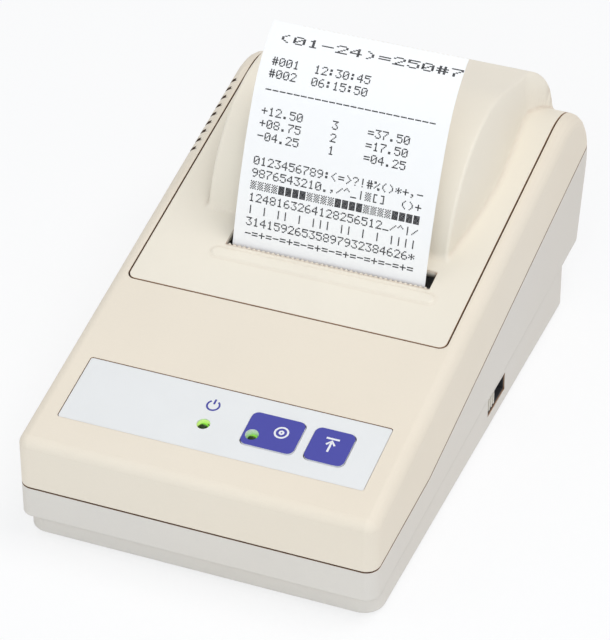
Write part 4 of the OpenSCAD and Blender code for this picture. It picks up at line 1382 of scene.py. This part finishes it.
@dataclass
class ControlPanel(Assembly):
    """The label, two film-faced keys with their signs, the lamps and the board below them."""

    smooth = {name: (LAMP, "lamp_green") for name in ("power_lamp", "select_lamp")}
    plain = {
        "panel_label": LABEL,
        "panel_board": BOARD,
        "panel_screws": SCREW,
        "select_switch": SWITCH,
        "feed_switch": SWITCH,
    }
    deck: Deck = field(default_factory=Deck)
    key_up: float = 23.3
    key_length: float = 11.8
    select: tuple[float, float, float] = (14.3, 15.5, 16.8)
    feed: tuple[float, float, float] = (30.9, 11.5, 30.9)
    key_top: float = 0.25
    border: float = 0.3
    corner: float = 2.0
    proud: float = 0.1
    lamp_up: float = 20.9
    lamp_hole: tuple[float, float] = (9.1, 1.9)
    sign_height: float = 0.03
    stroke: float = 0.13
    key_depth: float = 2.95
    key_edge: float = 0.22
    flange_rim: float = 1.8
    flange_height: float = 1.1
    flange_top: float = -2.85
    stem_size: tuple[float, float] = (1.5, 2.0)
    stem_foot: float = -5.45

    def _on_deck(self, mesh: bmesh.types.BMesh, x: float, up: float, out: float) -> None:
        """Moves a mesh to its place on the deck."""
        bmesh.ops.transform(mesh, matrix=self.deck.placed(x, up, out), verts=mesh.verts)

    def _key(self, node: str, x: float, width: float, stem_x: float) -> bpy.types.Object:
        """One key: a film face with a white border, on a flanged body with a stem.

        Args:
            node: The CAD node it stands for, which has the name of its body.
            x: Place across.
            width: Width of the key.
            stem_x: Place of the stem.

        Returns:
            The key.
        """
        length, rim = self.key_length, 2 * self.proud
        mesh = rounded_plate(width + rim, length + rim, self.key_depth, self.corner, self.key_edge)
        for face in mesh.faces:
            face.material_index = int(face.calc_center_median().z > -self.border)
        rim = self.flange_rim
        flange = rounded_plate(width + rim, length + rim, self.flange_height, self.corner, 0.15)
        bmesh.ops.translate(flange, vec=(0, 0, self.flange_top), verts=flange.verts)
        stem = peg(self.stem_size[0], 0.0, self.stem_size[1], 24)
        bmesh.ops.translate(stem, vec=(stem_x - x, 0, self.stem_foot), verts=stem.verts)
        absorb(mesh, flange)
        absorb(mesh, stem)
        self._on_deck(mesh, x, self.key_up, self.key_top)
        films = [KEY_WHITE, KEY_BLUE]
        return self.shop.piece(node + "_cap", mesh, node, films, "key_blue", [node], sharp_deg=30.0)

    def _drill(self, key: bpy.types.Object) -> None:
        """Cuts the lamp's hole through a key.

        Args:
            key: The key.
        """
        lamp_x, radius = self.lamp_hole
        cutter = peg(radius, -8.0, 2.0, 40)
        self._on_deck(cutter, lamp_x, self.lamp_up, 0.0)
        bmesh.ops.scale(cutter, vec=(MM,) * 3, verts=cutter.verts)
        tool = linked("cutter", stored("cutter", cutter))
        cut = key.modifiers.new("lamp_hole", "BOOLEAN")
        cut.operation, cut.solver, cut.object, cut.use_self = "DIFFERENCE", "EXACT", tool, True
        while key.modifiers[0] != cut:
            key.modifiers.move(len(key.modifiers) - 1, 0)
        bpy.context.view_layer.update()
        evaluated = key.evaluated_get(bpy.context.evaluated_depsgraph_get())
        shaped = bpy.data.meshes.new_from_object(evaluated)
        key.modifiers.clear()
        old, key.data = key.data, shaped
        bpy.data.meshes.remove(old)
        key.modifiers.new("even_shading", "WEIGHTED_NORMAL").keep_sharp = True
        bpy.data.objects.remove(tool)

    def _sign(
        self, sign: Sign, place: Sequence[float], size: float, body: str, finish: Finish
    ) -> None:
        """One sign, printed as a thin film.

        Args:
            sign: Which sign.
            place: Places across and up the slope, and the height of the surface below it.
            size: Its height in millimetres.
            body: Body it rides on.
            finish: Its finish.
        """
        lines = {
            Sign.POWER: [arc(size * 0.42, 125, 415, 28), [(0, size * 0.12), (0, size * 0.55)]],
            Sign.READY: [arc(size * 0.42, 0, 360, 32), arc(size * 0.12, 0, 360, 16)],
            Sign.FEED: [
                [(0, -size * 0.5), (0, size * 0.28)],
                [(-size * 0.26, size * 0.02), (0, size * 0.34), (size * 0.26, size * 0.02)],
                [(-size * 0.4, size * 0.5), (size * 0.4, size * 0.5)],
            ],
        }[sign]
        whole = bmesh.new()
        for line in lines:
            absorb(whole, strip_plate(line, size * self.stroke, self.sign_height))
        self._on_deck(whole, *place)
        slot = "key_blue" if finish is KEY_BLUE else "label_white"
        self.shop.piece("sign_" + sign.value, whole, body, [finish], slot, weighted=False)

    def build(self) -> None:
        """Builds and dresses the panel."""
        self._drill(self._key("select_key", *self.select))
        self._key("feed_key", *self.feed)
        self._sign(Sign.POWER, (-5.3, 28.0, -0.2), 4.2, "base", KEY_BLUE)
        self._sign(Sign.READY, (16.6, 23.9, self.key_top), 4.4, "select_key", KEY_WHITE)
        self._sign(Sign.FEED, (self.feed[0], 23.6, self.key_top), 4.8, "feed_key", KEY_WHITE)
        super().build()


GLYPHS: Mapping[str, str] = {
    "0": "3E5149453E",
    "1": "00427F4000",
    "2": "4261514946",
    "3": "2141454B31",
    "4": "1814127F10",
    "5": "2745454539",
    "6": "3C4A494930",
    "7": "0171090503",
    "8": "3649494936",
    "9": "064949291E",
    ".": "0060600000",
    ",": "0050300000",
    ":": "0036360000",
    "-": "0808080808",
    "+": "08083E0808",
    "*": "14083E0814",
    "/": "2010080402",
    "=": "1414141414",
    "%": "2313086462",
    "#": "147F147F14",
    "(": "001C224100",
    ")": "0041221C00",
    "<": "0814224100",
    ">": "0041221408",
    "|": "00007F0000",
    "@": "7F7F7F7F7F",
    "~": "552A552A55",
    "_": "4040404040",
    "^": "0402010204",
    "!": "00005F0000",
    "?": "0201510906",
    "[": "007F414100",
    "]": "0041417F00",
}


@dataclass
class PrintedStrip:
    """The printed paper that stands out of the slot, bent as it leaves the rollers."""

    shop: Workshop
    width: float = 59.0
    centre_x: float = 5.0
    start: tuple[float, float] = (-5.108, 50.01)
    start_deg: float = 165.5
    rise_radius: float = 180.0
    rise_deg: float = 14.3
    curl_radius: float = 38.0
    curl_deg: float = 35.5
    thickness: float = 0.1
    dot: float = 0.45
    dot_pitch: float = 0.36
    line_pitch: float = 3.62
    glyph_columns: int = 6
    margin: float = 3.6
    top_margin: float = 4.2
    ink_lift: float = 0.012
    cells: tuple[int, int] = (118, 72)
    torn: float = 0.2
    tooth: tuple[float, float] = (1.5, 0.28)
    heading: str = "(01-24)=250#7"
    lines: Sequence[str] = (
        "",
        "#001  12:30:45",
        "#002  06:15:50",
        "________________________",
        "",
        "+12.50    3    =37.50",
        "+08.75    2    =17.50",
        "-04.25    1    =04.25",
        "",
        "0123456789:<=>?!#%()*+,-",
        "9876543210.,/^_|~[]  ()+",
        "~~~~@@@@~~~~@@@@~~~~@@@@",
        "1248163264128256512_/^|/",
        "| | || | ||| || | | ||||",
        "31415926535897932384626*",
        "-=+=-=+=-=+=-=+=-=+=-=+=",
    )

    @property
    def rise(self) -> float:
        """Length of the first, nearly straight part along the paper."""
        return math.radians(self.rise_deg) * self.rise_radius

    @property
    def length(self) -> float:
        """Length of the strip along the paper."""
        return self.rise + math.radians(self.curl_deg) * self.curl_radius

    def _at(self, run: np.ndarray) -> tuple[np.ndarray, np.ndarray, np.ndarray, np.ndarray]:
        """Places on the strip's face.

        Args:
            run: Distances along the paper from the slot.

        Returns:
            Depths, heights, and the depth and height parts of the face's normal.
        """
        start, wide, tight = math.radians(self.start_deg), self.rise_radius, self.curl_radius
        mid = start - math.radians(self.rise_deg)
        cy, cz = self.start[0] - wide * math.cos(start), self.start[1] - wide * math.sin(start)
        ky, kz = cy + (wide - tight) * math.cos(mid), cz + (wide - tight) * math.sin(mid)
        curled = run > self.rise
        angle = np.where(curled, mid - (run - self.rise) / tight, start - run / wide)
        radius = np.where(curled, tight, wide)
        y = np.where(curled, ky, cy) + radius * np.cos(angle)
        z = np.where(curled, kz, cz) + radius * np.sin(angle)
        return y, z, np.cos(angle), np.sin(angle)

    def _bent(self, mesh: bmesh.types.BMesh) -> None:
        """Wraps a flat mesh onto the strip: X across, Y along the paper, Z out of its face."""
        mesh.verts.ensure_lookup_table()
        flat = np.array([v.co for v in mesh.verts])
        y, z, ny, nz = self._at(flat[:, 1])
        lift = flat[:, 2]
        for vert, x, a, b in zip(mesh.verts, flat[:, 0], y + ny * lift, z + nz * lift):
            vert.co = (self.centre_x + x, a, b)

    def sheet(self) -> None:
        """The paper itself, with its torn end."""
        mesh = bmesh.new()
        bmesh.ops.create_grid(mesh, x_segments=self.cells[0], y_segments=self.cells[1], size=0.5)
        bmesh.ops.scale(mesh, vec=(self.width, self.length - 0.3, 1.0), verts=mesh.verts)
        bmesh.ops.translate(mesh, vec=(0, self.length / 2, 0), verts=mesh.verts)
        pitch, height = self.tooth
        for vert in mesh.verts:
            if vert.co.y > self.length - 2 * self.torn:
                rise = abs((vert.co.x / pitch) % 1.0 - 0.5) * 2
                vert.co.y += height * rise - self.torn
        thicken(mesh, mesh.faces[:], -self.thickness)
        bmesh.ops.recalc_face_normals(mesh, faces=mesh.faces)
        self._bent(mesh)
        self.shop.piece(
            "printed_paper",
            mesh,
            "cover",
            [PAPER],
            "paper_white",
            ["paper_strip"],
            sharp_deg=60.0,
            weighted=False,
        )

    def _dots(self, text: str, wide: int) -> list[tuple[float, float]]:
        """Dots of a line of characters.

        Args:
            text: The characters.
            wide: How many dot columns a glyph column takes.

        Returns:
            Places (across, down), in dot pitches.
        """
        found = []
        for place, character in enumerate(text):
            for column, bits in enumerate(bytes.fromhex(GLYPHS.get(character, ""))):
                for copy in range(wide):
                    across = (place * self.glyph_columns + column) * wide + copy
                    found += [(across, row) for row in range(7) if bits >> row & 1]
        return found

    def print(self) -> None:
        """The dots of the print, a hair above the paper."""
        mesh = bmesh.new()
        left, pitch = -self.width / 2 + self.margin, self.dot_pitch
        for number, text in enumerate([self.heading, *self.lines]):
            wide = 1 if number else 2
            top = self.length - self.top_margin - number * self.line_pitch
            for across, down in self._dots(text, wide):
                x, y = left + across * pitch, top - down * pitch
                place = Matrix.Translation((x, y, self.ink_lift))
                bmesh.ops.create_circle(
                    mesh, cap_ends=True, radius=self.dot / 2, segments=6, matrix=place
                )
        self._bent(mesh)
        self.shop.piece("paper_print", mesh, "cover", [INK], "ribbon_ink", weighted=False)

    def build(self) -> None:
        """Builds the strip and its print."""
        self.sheet()
        self.print()


@dataclass
class PaperSupply(Assembly):
    """The roll with its core, spindle, cradle and the paper that runs down to the rollers."""

    smooth = {
        "paper_roll": (ROLL, "paper_white"),
        "paper_core": (CARD, "core_card"),
        "roll_spindle": (NYLON, "gear_nylon"),
        "roll_cradle": (GREY_BEIGE, "case_grey"),
        "paper_web": (PAPER, "paper_white"),
    }


@dataclass
class Mechanism(Assembly):
    """The printing mechanism."""

    smooth = {
        "guide_shafts": (SHAFT, "shaft_steel"),
        "feed_shaft": (SHAFT, "shaft_steel"),
        "cam_drum": (NYLON, "gear_nylon"),
        "drive_motor": (MOTOR, "motor_can"),
        "feed_roller": (ROLLER, "roller_rubber"),
        "pressure_roller": (ROLLER, "roller_rubber"),
        "feed_knob": (KNOB, "knob_white"),
        "ribbon_spool": (NYLON, "gear_nylon"),
    }
    plain = {
        "mechanism_frame": FRAME_STEEL,
        "frame_screws": SCREW,
        "paper_guide": FRAME_STEEL,
        "gear_studs": SHAFT,
        "print_head": HEAD,
        "head_carriage": NYLON,
        "head_cable": CABLE,
        "platen": PLATEN,
        "cam_gear": NYLON,
        "reduction_gear": NYLON,
        "idler_gear": NYLON,
        "feed_gear": NYLON,
        "motor_pinion": BRASS,
        "ribbon_cassette": CASSETTE,
        "ribbon": RIBBON,
    }


@dataclass
class Electronics(Assembly):
    """The boards and what stands on them."""

    smooth = {"capacitors": (CAN, "capacitor_sleeve")}
    plain = {
        "main_board": BOARD,
        "connector_board": BOARD_UPRIGHT,
        "board_screws": SCREW,
        "processor_chip": CHIP,
        "memory_chips": CHIP,
        "driver_heat_sink": HEAT_SINK,
        "interface_connector": CONNECTOR,
        "power_inlet": SWITCH,
    }


# ---------- studio ----------


@dataclass
class Studio:
    """Floor, lamps, background and camera."""

    aim: tuple[float, float, float] = (0.0, -2.0, 33.5)
    azimuth_deg: float = 21.659
    elevation_deg: float = 35.15
    distance: float = 938.29
    lens: float = 191.0
    sensor: float = 36.0
    shift: tuple[float, float] = (-0.0167, -0.0229)
    world_light: float = 0.555
    world_tint: Colour = (0.88, 0.92, 1.0)
    floor_tone: float = 0.94
    floor_glow: float = 0.75
    lamp_aim: tuple[float, float, float] = (0.0, 0.0, 0.04)
    lamp_size: float = 0.8
    lamps: Sequence[tuple[str, tuple[float, float, float], float, Colour]] = (
        ("high", (0.55, 0.1, 1.4), 7.9, (1.0, 0.972, 0.94)),
        ("front", (0.35, -1.2, 0.75), 5.7, (0.83, 0.92, 1.0)),
        ("left", (-0.9, -0.7, 1.0), 1.7, (1.0, 0.96, 0.80)),
    )

    def camera(self) -> None:
        """Sets up the camera at the photograph's viewing angle."""
        data = bpy.data.cameras.new("camera")
        data.lens, data.sensor_width, data.sensor_fit = self.lens, self.sensor, "HORIZONTAL"
        data.shift_x, data.shift_y = self.shift
        data.clip_start, data.clip_end = 0.05, 20.0
        camera = linked("camera", data)
        a, e = math.radians(self.azimuth_deg), math.radians(self.elevation_deg)
        back = Vector((math.sin(a) * math.cos(e), -math.cos(a) * math.cos(e), math.sin(e)))
        aimed(camera, (Vector(self.aim) + back * self.distance) * MM, -back)
        bpy.context.scene.camera = camera

    def lamp(self, name: str, place: Sequence[float], power: float, colour: Colour) -> None:
        """One soft square lamp that points at the printer.

        Args:
            name: The lamp's name.
            place: Its place in metres.
            power: Its power in watts.
            colour: Its colour.
        """
        data = bpy.data.lights.new(name, "AREA")
        data.shape, data.size, data.energy, data.color = "SQUARE", self.lamp_size, power, colour
        aimed(linked(name, data), Vector(place), Vector(self.lamp_aim) - Vector(place))

    def floor(self) -> None:
        """A plain pale floor that keeps the printer's shadow."""
        mesh = bmesh.new()
        bmesh.ops.create_grid(mesh, x_segments=4, y_segments=4, size=6.0)
        made = linked("floor", stored("floor", mesh))
        graph = FinishGraph("floor_pale")
        graph.set(Base_Color=(self.floor_tone,) * 3, Roughness=0.9, Specular_IOR_Level=0.1)
        glow = graph.node("ShaderNodeEmission", None, {"Color": (1.0, 1.0, 1.0), "Strength": 1.0})
        share = graph.seen("Is Camera Ray", "Is Glossy Ray") * self.floor_glow
        shaders = {0: share, 1: graph.shader.outputs[0], 2: glow.outputs[0]}
        mixed = graph.node("ShaderNodeMixShader", None, shaders)
        output = next(n for n in graph.tree.nodes if n.type == "OUTPUT_MATERIAL")
        graph.plug(output.inputs["Surface"], mixed.outputs[0])
        made.data.materials.append(graph.material)

    def world(self) -> None:
        """Even white light, and a white background where the camera sees it."""
        world = bpy.data.worlds.new("studio")
        bpy.context.scene.world = world
        world.use_nodes = True
        world.node_tree.nodes.clear()
        graph = ShaderGraph(world.node_tree)
        soft, white = (
            graph.node("ShaderNodeBackground", None, {"Color": colour, "Strength": strength})
            for colour, strength in ((self.world_tint, self.world_light), ((1.0, 1.0, 1.0), 1.0))
        )
        seen = graph.seen("Is Camera Ray", "Is Glossy Ray", "Is Transmission Ray")
        shaders = {0: seen, 1: soft.outputs[0], 2: white.outputs[0]}
        mixed = graph.node("ShaderNodeMixShader", None, shaders)
        graph.node("ShaderNodeOutputWorld", None, {"Surface": mixed.outputs[0]})

    def build(self) -> None:
        """Builds the studio."""
        bpy.context.scene.view_settings.view_transform = "Standard"
        self.camera()
        self.floor()
        self.world()
        for lamp in self.lamps:
            self.lamp(*lamp)


def main() -> None:
    """Builds the studio and dresses the printer."""
    logging.basicConfig(level=logging.INFO, format="%(name)s: %(message)s")
    shop = Workshop(frame)
    Studio().build()
    outside = (CaseShells, PrinterCover, ControlPanel, PrintedStrip)
    inside = (PaperSupply, Mechanism, Electronics)
    for assembly in outside + inside:
        assembly(shop).build()


if __name__ == "__main__":
    main()
